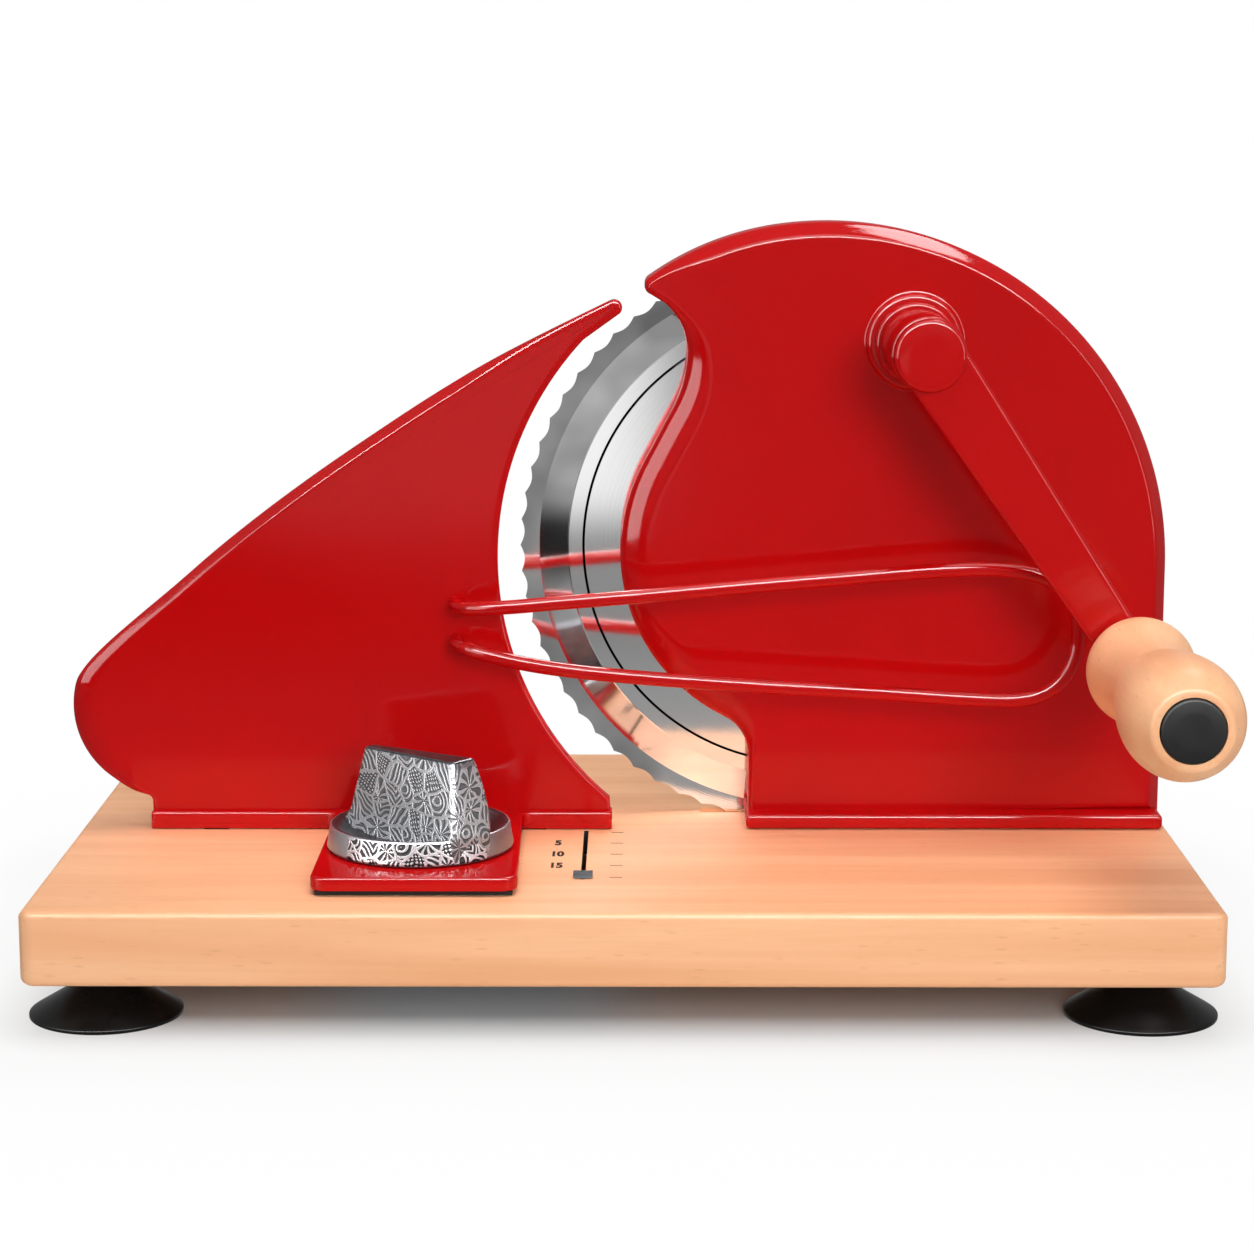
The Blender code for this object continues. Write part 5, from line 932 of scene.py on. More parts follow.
def housing_edge():
    """The housing's outline as (x, z), and the width and crispness of its edge at each point."""
    cx, cz, radius = HOUSING_CENTRE_X, HOUSING_CENTRE_Z, HOUSING_RADIUS
    beak_x = cx + (radius - BEAK_RADIUS - BEAK_DIP) * cos(radians(BEAK_ANGLE))
    beak_z = cz + (radius - BEAK_RADIUS - BEAK_DIP) * sin(radians(BEAK_ANGLE))
    beak = arc(beak_x, beak_z, BEAK_RADIUS, BEAK_TOP_ANGLE, BEAK_UNDER_ANGLE, 10)
    back = [(cx + radius, HOUSING_BOTTOM)] + arc(cx, cz, radius, 0, BACK_END_ANGLE, 1.5)
    back += bulged(back[-1], beak[0], BEAK_BULGE, 14)
    side = gullet_side(0) + [(foot_fillet_centre()[0] + FOOT_FILLET_RADIUS, HOUSING_BOTTOM)]
    start = BEAK_ROUND_FROM
    widths = [BACK_ROUND + (BEAK_ROUND - BACK_ROUND) * ease((i / len(back) - start) / (1 - start))
              for i in range(len(back))]
    widths += [BEAK_ROUND] * len(beak)
    crisp = [1.0] * len(back) + [1 - k / len(beak) for k in range(len(beak))]
    first, last = GULLET_SWELL_SHARES
    for i in range(len(side)):
        share = i / len(side)
        swell = ease(share / first) * ease((1 - share) / last)
        widths.append(BEAK_ROUND + (GULLET_ROUND - BEAK_ROUND) * swell)
        crisp.append(-swell)
    return back + beak + side, widths, crisp


def edge_rings(outline, widths, crisp, face, deepness):
    """Rings from a face round to its side: each is as wide as its point's width.

    crisp is 0 for a quarter round, 1 for a chamfer with a tight bend at the face and -1 for a
    broad dome with a tight corner. deepness scales the depth of the first two, and is negative
    where the edge runs back towards the front.
    """
    bend, slant = CHAMFER_BEND, radians(CHAMFER_SLOPE)
    chamfer = [(1 - bend * sin(slant * k / 4), bend * (1 - cos(slant * k / 4))) for k in range(5)]
    start, end = Vector(chamfer[-1]), Vector(CHAMFER_END)
    chamfer += [tuple(start.lerp(end, k / 3)) for k in (1, 2, 3)]
    last = end.x / (1 - sin(slant))
    for k in (1, 2, 3):
        angle = slant + (pi / 2 - slant) * k / 3
        chamfer.append((last * (1 - sin(angle)), end.y + last * (cos(slant) - cos(angle))))
    quarter = [(1 - sin(pi / 2 * k / 10), 1 - cos(pi / 2 * k / 10)) for k in range(11)]
    fall, crown = radians(DOME_TURN), DOME_RADIUS
    corner = (1 - crown * sin(fall)) / (1 - sin(fall))
    dome = [(1 - crown * sin(fall * k / 7), crown * (1 - cos(fall * k / 7))) for k in range(8)]
    for k in (1, 2, 3):
        angle = fall + (pi / 2 - fall) * k / 3
        dome.append((corner * (1 - sin(angle)),
                     crown * (1 - cos(fall)) + corner * (cos(fall) - cos(angle))))
    dome = [(inset, depth / abs(deepness)) for inset, depth in dome]
    ways = inward(outline)
    rings = [[(x + way.x * (w + FACE_LAND), face, z + way.y * (w + FACE_LAND))
              for (x, z), way, w in zip(outline, ways, widths)]]
    for sharp, soft, broad in zip(chamfer, quarter, dome):
        ring = []
        for (x, z), way, w, share in zip(outline, ways, widths, crisp):
            other = sharp if share > 0 else broad
            inset = w * (soft[0] + (other[0] - soft[0]) * abs(share))
            depth = w * (soft[1] + (other[1] - soft[1]) * abs(share))
            ring.append((x + way.x * inset, face + deepness * depth, z + way.y * inset))
        rings.append(ring)
    return rings


def rim_level(x, z):
    """How far back the housing's wall reaches: it leaves room for the blade in front of it."""
    near_blade = hypot(x - BLADE.x, z - BLADE.z) < BLADE_RADIUS + RUNNING_GAP
    return BLADE_FRONT_Y - 2 * GAP if near_blade else BLADE_FACE_Y


def make_housing(enamel):
    """The cast housing: one shell with a broad soft edge, its foot and the ring at the crank."""
    outline, widths, crisp = housing_edge()
    ways = inward(outline)
    face = HOUSING_FACE_Y
    rings = edge_rings(outline, widths, crisp, face, 1.0)
    rings.append([(x, rim_level(x, z) - SIDE_LAND, z) for x, z in outline])
    rings.append([(x + way.x * SIDE_LAND, rim_level(x, z), z + way.y * SIDE_LAND)
                  for (x, z), way in zip(outline, ways)])
    shell = stacked(rings, close_last=False)
    edge = [e for e in shell.edges if e.is_boundary]

    gullet = gullet_side(HOUSING_WALL)
    inside = HOUSING_RADIUS - HOUSING_WALL
    top = degrees(acos((gullet[0][0] + BEAK_SOLID - HOUSING_CENTRE_X) / inside))
    cavity = [(HOUSING_CENTRE_X + inside, HOUSING_FLOOR)]
    cavity += arc(HOUSING_CENTRE_X, HOUSING_CENTRE_Z, inside, 0, top, 3) + gullet
    cavity.append((foot_fillet_centre()[0] + FOOT_FILLET_RADIUS + HOUSING_WALL, HOUSING_FLOOR))
    verts = [shell.verts.new((x, rim_level(x, z), z)) for x, z in cavity]
    loop = [shell.edges.new((verts[i - 1], verts[i])) for i in range(len(verts))]
    bmesh.ops.triangle_fill(shell, use_beauty=True, edges=edge + loop, normal=(0, 1, 0))
    deep, bottom = extruded(shell, loop)
    for vertex in deep:
        vertex.co.y = face + HOUSING_WALL
    bmesh.ops.edgeloop_fill(shell, edges=bottom)
    bmesh.ops.recalc_face_normals(shell, faces=shell.faces)

    left = foot_fillet_centre()[0] + FOOT_FILLET_RADIUS
    flange = block((left - OVERSHOOT, HOUSING_LOW.y, GAP),
                   (HOUSING_CENTRE_X + HOUSING_RADIUS - OVERSHOOT, BLADE_FRONT_Y - 2 * GAP,
                    FLANGE_THICKNESS), FLANGE_ROUND)
    radius, front, hole = ESCUTCHEON_RADIUS, ESCUTCHEON_FRONT_Y, ESCUTCHEON_HOLE_RADIUS
    ring_profile = rounded([(hole, face + OVERSHOOT), (hole, front), (radius, front, 0.0019),
                            (radius, face - 0.0002, 0.0006), (radius + 0.0012, face + 0.0002)])
    ring_shape = turned(ring_profile, (CRANK.x, 0, CRANK.z), steps=96)
    piece("enamelled_gear_housing", [shell, flange, ring_shape], enamel, "base",
          ["gear_housing"])


def make_blade(steel):
    """The blade: turned rings, a hollow-ground band and a scalloped, ground edge."""
    front, back = BLADE_FRONT_Y, BLADE_FACE_Y
    groove, width = GROOVE_RADIUS, GROOVE_WIDTH
    profile = [(BLADE_HOLE_RADIUS, back), (BLADE_HOLE_RADIUS, front), (0.03, front),
               (0.052, front), (groove - width, front), (groove, front + 0.0002),
               (groove + width, front), (HOLLOW_RADIUS - 0.0004, front),
               (HOLLOW_RADIUS, front + 0.00005), (GRIND_RADIUS, front + 0.00022),
               (GRIND_RADIUS + 0.0003, front + 0.00025), (BLADE_RADIUS, back - 0.00015),
               (BLADE_RADIUS, back), (0.05, back), (BLADE_HOLE_RADIUS, back)]
    shape = turned(profile, (0, 0, 0), steps=BLADE_SCALLOPS * STEPS_PER_SCALLOP)
    slope = (back - front - 0.0004) / (BLADE_RADIUS - GRIND_RADIUS - 0.0003)
    for vertex in shape.verts:
        radius = hypot(vertex.co.x, vertex.co.z)
        if radius > BLADE_RADIUS - 1e-5:
            angle = atan2(vertex.co.z, vertex.co.x)
            less = SCALLOP_DEPTH * abs(sin(BLADE_SCALLOPS * angle / 2))
            vertex.co.x *= 1 - less / BLADE_RADIUS
            vertex.co.z *= 1 - less / BLADE_RADIUS
            if vertex.co.y < back - 1e-5:
                vertex.co.y -= less * slope
    bmesh.ops.translate(shape, vec=(BLADE.x, 0, BLADE.z), verts=shape.verts)
    piece("scalloped_blade", shape, steel, "blade_unit", ["blade"], 4)


def screw_head(radius, height, recess, width, blind):
    """A pan head facing +z, with a cross recess of this length and width of arm."""
    shape = bmesh.new()
    land = bmesh.ops.create_circle(shape, segments=40, radius=radius * 0.8)["verts"]
    rim = list({e for v in land for e in v.link_edges})
    arm, side = recess / 2, width / 2
    corners = [(arm, side), (side, side), (side, arm), (-side, arm), (-side, side),
               (-arm, side), (-arm, -side), (-side, -side), (-side, -arm), (side, -arm),
               (side, -side), (arm, -side)]
    mouth = [shape.verts.new((x, y, 0)) for x, y in corners]
    lip = [shape.edges.new((mouth[i - 1], mouth[i])) for i in range(len(mouth))]
    bmesh.ops.triangle_fill(shape, use_beauty=True, edges=rim + lip, normal=(0, 0, 1))
    floor, bottom = extruded(shape, lip)
    bmesh.ops.scale(shape, vec=(0.75, 0.75, 1), verts=floor)
    bmesh.ops.translate(shape, vec=(0, 0, -blind), verts=floor)
    bmesh.ops.edgeloop_fill(shape, edges=bottom)
    for size, drop in ((0.93, 0.12), (0.985, 0.35), (1.0, 0.6), (1.0, 1.0)):
        verts, rim = extruded(shape, rim)
        for vertex in verts:
            flat = Vector((vertex.co.x, vertex.co.y)).normalized() * radius * size
            vertex.co = (flat.x, flat.y, -height * drop)
    bmesh.ops.edgeloop_fill(shape, edges=rim)
    bmesh.ops.recalc_face_normals(shape, faces=shape.faces)
    return shape


def set_head(shape, at, facing):
    """Turn a screw head to face along a vector and put its top at a point."""
    turn = Vector(facing).to_track_quat("Z", "Y").to_matrix()
    bmesh.ops.rotate(shape, cent=(0, 0, 0), matrix=turn, verts=shape.verts)
    bmesh.ops.translate(shape, vec=at, verts=shape.verts)
    return shape


def make_screws(plated):
    """The screws that can be seen from below and from behind, with cross recesses."""
    below = [(f"cover_screw_{i + 1}", 0.0011) for i in range(4)]
    below += [(f"housing_screw_{i + 1}", 0.0026) for i in range(3)]
    for name, height in below:
        low, high, middle = box_of(name)
        radius = (high.x - low.x) / 2
        head = screw_head(radius, height, radius * 1.15, radius * 0.28, height * 0.6)
        set_head(head, (middle.x, middle.y, low.z), (0, 0, -1))
        shank = rod(radius * 0.5, (middle.x, middle.y, low.z + height / 2),
                    (middle.x, middle.y, high.z), 20)
        piece("plated_" + name, [head, shank], plated, "base", [name])
    for index in range(3):
        name = f"surround_screw_{index + 1}"
        low, high, middle = box_of(name)
        radius = (high.x - low.x) / 2
        head = screw_head(radius, 0.0012, radius * 1.2, radius * 0.3, 0.0007)
        set_head(head, (middle.x, high.y, middle.z), (0, 1, 0))
        shank = rod(radius * 0.55, (middle.x, low.y, middle.z),
                    (middle.x, high.y - 0.0008, middle.z), 20)
        piece("plated_" + name, [head, shank], plated, "base", [name])


def make_blade_fixings(plated):
    """The screw in the blade's middle and the rivets round it, seen from behind."""
    low, high, middle = box_of("blade_screw")
    radius = (high.x - low.x) / 2
    head = screw_head(radius, 0.0010, radius * 1.25, radius * 0.2, 0.0005)
    set_head(head, (middle.x, high.y, middle.z), (0, 1, 0))
    shank = rod(0.0025, (middle.x, low.y, middle.z), (middle.x, high.y - 0.0006, middle.z))
    piece("blade_centre_screw", [head, shank], plated, "base", ["blade_screw"])
    for index in range(3):
        name = f"blade_rivet_{index + 1}"
        low, high, middle = box_of(name)
        radius = (high.x - low.x) / 2
        seat = BLADE_FACE_Y + GAP
        dome = turned([(0, high.y), (radius * 0.45, high.y - 0.00008),
                       (radius * 0.8, high.y - 0.0003), (radius, seat), (0.0012, seat),
                       (0.0012, low.y), (0, low.y)], (middle.x, 0, middle.z), steps=32)
        piece("domed_" + name, dome, plated, "blade_unit", [name])


def make_crank(enamel):
    """The crank's collar, its tapered arm with a hub, and the cap over the shaft's end."""
    centre = (CRANK.x, 0, CRANK.z)
    collar_radius = (COLLAR_HIGH.x - COLLAR_LOW.x) / 2
    front, back = COLLAR_LOW.y, COLLAR_HIGH.y
    bore = CRANK_BORE_RADIUS
    collar = turned(rounded([(bore, back), (bore, front), (collar_radius, front, 0.0014),
                             (collar_radius, back, 0.0004), (bore, back)]), centre, steps=96)
    piece("enamelled_crank_collar", collar, enamel, "crank_unit", ["crank_collar"])

    arm_front = CAP_HIGH.y + GAP
    heading = atan2(GRIP.z - CRANK.z, GRIP.x - CRANK.x)
    reach = hypot(GRIP.z - CRANK.z, GRIP.x - CRANK.x)
    half_hub, half_grip = ARM_WIDTH_HUB / 2, ARM_WIDTH_GRIP / 2
    lean = degrees((half_hub - half_grip) / reach)
    outline = []
    for x, y in (arc(0, 0, half_hub, 90 - lean, 270 + lean, 6)
                 + arc(reach, 0, half_grip, -90 + lean, 90 - lean, 6)):
        outline.append((CRANK.x + x * cos(heading) - y * sin(heading),
                        CRANK.z + x * sin(heading) + y * cos(heading)))
    arm = rounded_slab(outline, arm_front, ARM_BACK_Y, ARM_ROUND, ARM_ROUND)
    hub_back = COLLAR_LOW.y - GAP
    hub_front = arm_front + HUB_STEP
    hub = turned(rounded([(0, hub_front), (HUB_RADIUS, hub_front, 0.0012),
                          (HUB_RADIUS, hub_back, 0.0005), (HUB_BORE_RADIUS, hub_back)]), centre,
                 steps=96)
    piece("enamelled_crank_arm", [arm, hub], enamel, "crank_unit", ["crank_arm"])

    cap_radius = (CAP_HIGH.x - CAP_LOW.x) / 2
    cap = turned(rounded([(0, CAP_LOW.y), (cap_radius * 0.55, CAP_LOW.y + 0.00006, 0.004),
                          (cap_radius - 0.0002, CAP_LOW.y + 0.0003, 0.0017),
                          (cap_radius, CAP_HIGH.y, 0.0003), (0, CAP_HIGH.y)]), centre,
                 steps=96)
    piece("enamelled_crank_cap", cap, enamel, "crank_unit", ["crank_cap"])


def make_grip(wood, plastic):
    """The turned beech grip with its two bellies, and the black plug in its end."""
    plug_radius = (PLUG_HIGH.x - PLUG_LOW.x) / 2
    belly, front, length = (GRIP_HIGH.x - GRIP_LOW.x) / 2, GRIP_LOW.y, GRIP_HIGH.y - GRIP_LOW.y
    bore, hole = GRIP_BORE_RADIUS, GRIP_HOLE_RADIUS
    stations = [(0.0, plug_radius + 0.0013), (0.006, plug_radius + 0.0026)]
    stations += [(t, share * belly) for t, share in BELLY_STATIONS]
    stations.append((0.53, (0.62 * belly + GRIP_WAIST) / 1.8))
    stations += [(t, share * GRIP_WAIST) for t, share in WAIST_STATIONS]
    stations += [(t, share * GRIP_SHOULDER) for t, share in SHOULDER_STATIONS]
    seat = front + PLUG_SEAT
    profile = [(bore, seat), (plug_radius + GAP, seat), (plug_radius + GAP, front)]
    profile += [(r, front + t * length) for t, r in smooth_line(stations, 4)]
    profile += [(hole, GRIP_HIGH.y), (hole, seat + 0.004), (bore, seat)]
    grip = turned(profile, (GRIP.x, 0, GRIP.z), steps=80)
    piece("turned_beech_grip", grip, wood, "grip_unit", ["wooden_grip"])
    plug = turned(rounded([(0, PLUG_LOW.y), (plug_radius * 0.6, PLUG_LOW.y + 0.0002, 0.01),
                           (plug_radius, PLUG_LOW.y + 0.0008, 0.0009),
                           (plug_radius, PLUG_HIGH.y), (0, PLUG_HIGH.y)]),
                  (GRIP.x, 0, GRIP.z), steps=72)
    piece("moulded_grip_plug", plug, plastic, "grip_unit", ["grip_plug"])


def plate_outline():
    """The stop plate's outline, and the width and crispness of its front edge at each point.

    Its right edge keeps clear of the blade all the way.
    """
    radius, tip = BLADE_RADIUS + PLATE_TO_BLADE, PLATE_TIP_RADIUS
    arc_x, arc_z = BLADE.x + PLATE_ARC_SHIFT_X, BLADE.z + PLATE_ARC_SHIFT_Z
    low_angle = 180 + degrees(asin((arc_z - PLATE_ARC_LOW_Z) / radius))
    reach = radius + tip - PLATE_TIP_LEAN
    tip_x = arc_x + reach * cos(radians(PLATE_TIP_ANGLE))
    tip_z = arc_z + reach * sin(radians(PLATE_TIP_ANGLE))
    nose_x, nose_z = PLATE_FOOT_LEFT + PLATE_NOSE_X, PLATE_NOSE_Z
    bottom = PLATE_BOTTOM_Z
    points = [(PLATE_FOOT_LEFT + GAP, bottom), (PLATE_RIGHT - GAP, bottom)]
    points += arc(arc_x, arc_z, radius, low_angle, PLATE_ARC_END_ANGLE, 2)
    points += arc(tip_x, tip_z, tip, *PLATE_TIP_ARC, 14)
    side_count = len(points)
    nose = arc(nose_x, nose_z, PLATE_NOSE_RADIUS, *PLATE_NOSE_ARC, 3)
    back = smooth_line([points[-1], *PLATE_SLOPE, nose[0]], 4)[1:-1] + nose
    points += back
    points += rounded([points[-1], (PLATE_FOOT_LEFT + 0.0002, PLATE_HEEL_Z, PLATE_HEEL_ROUND),
                       (PLATE_FOOT_LEFT + GAP, bottom)])[1:-1]
    widths, crisp = [PLATE_SIDE_ROUND] * len(points), [0.0] * len(points)
    first, last = PLATE_GROWTH_POINTS
    nose_from, nose_rise = PLATE_NOSE_SHARES
    for i in range(len(back)):
        grown = ease(i / first) * ease((len(back) - 1 - i) / last)
        near_nose = ease((i / len(back) - nose_from) / nose_rise)
        full = PLATE_BACK_ROUND + (PLATE_NOSE_ROUND - PLATE_BACK_ROUND) * near_nose
        widths[side_count + i] += (full - PLATE_SIDE_ROUND) * grown
        crisp[side_count + i] = grown * (1 - 2 * near_nose)
    return points, widths, crisp


def make_plate(enamel):
    """The stop plate, its foot and its tongue: one enamelled casting with soft edges."""
    points, widths, crisp = plate_outline()
    count = len(points)
    rings = edge_rings(points, widths, crisp, PLATE_FRONT_Y, PLATE_EDGE_DEPTH)
    rings += edge_rings(points, [PLATE_REAR_ROUND] * count, [0.0] * count, PLATE_BACK_Y, -1.0)[::-1]
    upright = stacked(rings)
    left, right, front = TONGUE_LEFT, TONGUE_RIGHT, TONGUE_FRONT_Y
    foot_left, foot_front, foot_back = PLATE_FOOT_LEFT, PLATE_FOOT_FRONT_Y, PLATE_BACK_Y - GAP
    outline = rounded([
        (left, front, TONGUE_CORNER), (right, front, TONGUE_CORNER),
        (right - TONGUE_TAPER, foot_front, TONGUE_FILLET),
        (PLATE_RIGHT, foot_front, PLATE_FOOT_CORNER), (PLATE_RIGHT, foot_back),
        (foot_left, foot_back), (foot_left, foot_front, PLATE_FOOT_CORNER),
        (left, foot_front, TONGUE_FILLET)], closed=True, count=8)
    tongue = rounded_slab(outline, TONGUE_BOTTOM_Z, TONGUE_TOP_Z, TONGUE_UNDER_ROUND,
                          TONGUE_ROUND, "Z")
    inset = 0.0001
    foot = block((foot_left + inset, foot_front + inset, GAP),
                 (PLATE_RIGHT - inset, foot_back - inset, TONGUE_BOTTOM_Z + PLATE_FOOT_RISE),
                 PLATE_FOOT_ROUND)
    piece("enamelled_stop_plate", [upright, tongue, foot], enamel, "stop_carriage",
          ["thickness_plate"])


def make_wire(enamel):
    """The guard that keeps slices upright: one bent wire, enamelled red.

    Its route leaves the plate, bends into one plane, runs round a long loop and comes back.
    """
    x, y = WIRE_ENDS_X, WIRE_PLANE_Y
    low, high = WIRE_END_ZS
    front = PLATE_FRONT_Y
    route = [(x, front + WIRE_SEAT, high), (x + 0.0003, front - 0.006, high),
             (x + 0.005, y + 0.005, high + 0.0004), (x + 0.018, y + 0.0008, high + 0.0016),
             (x + 0.035, y, high + 0.0032), (0.0051, y, 0.081), (0.038, y, 0.0841),
             (0.072, y, 0.087), (0.100, y, 0.0893), (0.120, y, 0.0897), (0.1345, y, 0.0868),
             (0.1432, y, 0.079), (0.1455, y, 0.0685), (0.1432, y, 0.0578),
             (0.137, y, 0.0505), (0.127, y, 0.0474), (0.110, y, 0.0477), (0.080, y, 0.0497),
             (0.040, y, 0.052), (0.0051, y, 0.0545), (x + 0.035, y, low - 0.0062),
             (x + 0.018, y + 0.0008, low - 0.0034), (x + 0.005, y + 0.005, low - 0.0006),
             (x + 0.0003, front - 0.006, low), (x, front + WIRE_SEAT, low)]
    points = smooth_line(route, 7)
    curve = bpy.data.curves.new("guard_wire", "CURVE")
    curve.dimensions = "3D"
    curve.bevel_depth = WIRE_RADIUS
    curve.bevel_resolution = 5
    curve.use_fill_caps = True
    spline = curve.splines.new("POLY")
    spline.points.add(len(points) - 1)
    for point, co in zip(spline.points, points):
        point.co = (*place(*co), 1)
    mesh = evaluated(new_object("guard_wire", curve))
    piece("enamelled_guard_wire", mesh, enamel, "stop_carriage", ["slice_guard_wire"])


def plaque(half_length, half_width, narrow, run_out=0.0):
    """A rectangle with rounded corners about the knob's axis, turned as the fin is.

    narrow takes that much off its back at the left end, and run_out is how far its right end has
    gone over to the skirt's wall: 0 at the top, 1 at the rim.
    """
    back = Vector((half_length, half_width)).lerp(KNOB_RADIUS * Vector(FIN_LOW_BACK), run_out)
    front = Vector((half_length, -half_width)).lerp(KNOB_RADIUS * Vector(FIN_LOW_FRONT), run_out)
    corners = [back, (-half_length, half_width - narrow), (-half_length, -half_width), front]
    flat = rounded([(*corner, FIN_CORNER) for corner in corners], closed=True)
    turn = radians(FIN_TURN)
    return [(KNOB.x + x * cos(turn) - y * sin(turn), KNOB.y + x * sin(turn) + y * cos(turn))
            for x, y in flat]


def make_knob(skirt_zinc, fin_zinc):
    """The turn knob: a dished skirt with a bright rim, and a fin whose ends run into it."""
    low, top = KNOB_LOW.z, KNOB_HIGH.z
    rim = low + SKIRT_HEIGHT
    outer = KNOB_RADIUS - SKIRT_LEAN
    inner = outer - RIM_WIDTH
    skirt = turned(rounded([
        (0, rim - COVE_DEPTH), (0.014, rim - COVE_DEPTH, 0.01),
        (inner - 0.0045, rim - 0.0030, 0.005), (inner, rim - 0.0002, 0.0006),
        (outer, rim, 0.0006), (KNOB_RADIUS, low + 0.0008, 0.0005),
        (KNOB_RADIUS - 0.0007, low), (0, low)]), (KNOB.x, KNOB.y, 0), "Z", 128)
    piece("cast_knob_skirt", skirt, skirt_zinc, "knob_unit", ["adjusting_knob"])

    rings = []
    levels, foot, round_top = FIN_LEVELS, low + FIN_START, FIN_TOP_ROUND
    for k in range(levels + 1):
        z = foot + (top - round_top - foot) * k / levels
        drop = top - max(z, rim - COVE_DEPTH)
        flare = min(1.0, max(0.0, 1 - (z - rim + COVE_DEPTH) / FIN_FLARE_HEIGHT)) ** 2
        half_length, half_width = (size / 2 + FIN_LEAN * drop + more * flare
                                   for size, more in zip(FIN_TOP, FIN_FLARE))
        narrow = FIN_BACK_NARROW * (k / levels) ** 1.5
        run_out = min(1.0, (top - z) / (top - rim)) ** 1.2
        rings.append([(x, y, z) for x, y in plaque(half_length, half_width, narrow, run_out)])
    last = plaque(*(size / 2 + FIN_LEAN * round_top for size in FIN_TOP), FIN_BACK_NARROW)
    ways = inward(last)
    crown = [(FIN_TOP_INSET * (1 - cos(pi / 2 * k / 5)), top - round_top * (1 - sin(pi / 2 * k / 5)))
             for k in range(1, 6)]
    for inset, z in crown + [(FIN_TOP_INSET + 0.0001, top)]:
        rings.append([(x + way.x * inset, y + way.y * inset, z) for (x, y), way in zip(last, ways)])
    piece("cast_knob_fin", stacked(rings), fin_zinc, "knob_unit")


def make_pointer(zinc):
    """The pointer: a small block with ribs across it for a fingernail."""
    low, high = POINTER_LOW, POINTER_HIGH
    pitch = (high.y - low.y) / POINTER_RIBS
    groove = high.z - RIB_DEPTH
    section = [(low.y, low.z)]
    for rib in range(POINTER_RIBS):
        start = low.y + rib * pitch
        section += [(start + pitch * share, z) for share, z in (
            (0.12, groove), (0.3, high.z), (0.7, high.z), (0.88, groove))]
    section.append((high.y, low.z))
    shape = prism([(low.x, y, z) for y, z in section], (high.x - low.x, 0, 0))
    piece("ribbed_scale_pointer", shape, zinc, "pointer_unit", ["scale_pointer"])


def make_scale(ink):
    """The printed scale: a tick for every 5 mm of slice, with plain numbers beside the slot."""
    film = INK_FILM
    shapes = []
    for step in range(5):
        thickness = THICKNESS_RANGE * step / 4
        y = POINTER.y + POINTER_TRAVEL * (1 - thickness / THICKNESS_RANGE)
        shapes.append(block((POINTER.x + TICK_FROM, y - TICK_HALF_WIDTH, 0),
                            (POINTER.x + TICK_TO, y + TICK_HALF_WIDTH, film)))
        if step in (1, 2, 3):
            label = bpy.data.curves.new("scale_number", "FONT")
            label.body = str(round(thickness * 1000))
            label.size = NUMBER_SIZE
            label.align_x, label.align_y = "CENTER", "CENTER"
            label.extrude = film / 2
            label.offset = NUMBER_STROKE
            drawn = new_object("scale_number", label)
            drawn.location = (POINTER.x - NUMBER_PLACE, y, film / 2)
            drawn.scale = (NUMBER_NARROWING, 1, 1)
            bpy.context.view_layer.update()
            turn = drawn.matrix_world.copy()
            mesh = evaluated(drawn)
            mesh.transform(turn)
            shape = bmesh.new()
            shape.from_mesh(mesh)
            shapes.append(shape)
    piece("printed_scale", shapes, ink, "base")


def finish_inner_nodes(finishes):
    """Give each CAD node that still shows its material."""
    slots = {
        "red": ("blade_surround_plate",),
        "black": ("glide_pad", "guide_key_1", "guide_key_2"),
        "nylon": ("blade_gear", "crank_gear", "rack_pinion", "pointer_pinion",
                  "pinion_spacer", "thickness_rack", "pointer_slide"),
        "brass": ("blade_bush", "crank_bush", "spindle_bush"),
        "sheet": ("mechanism_cover",),
    }
    for name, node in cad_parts.items():
        found = [finish for finish, names in slots.items() if name in names]
        made = finishes[found[0] if found else "plated"]
        node.data.materials.clear()
        node.data.materials.append(made)


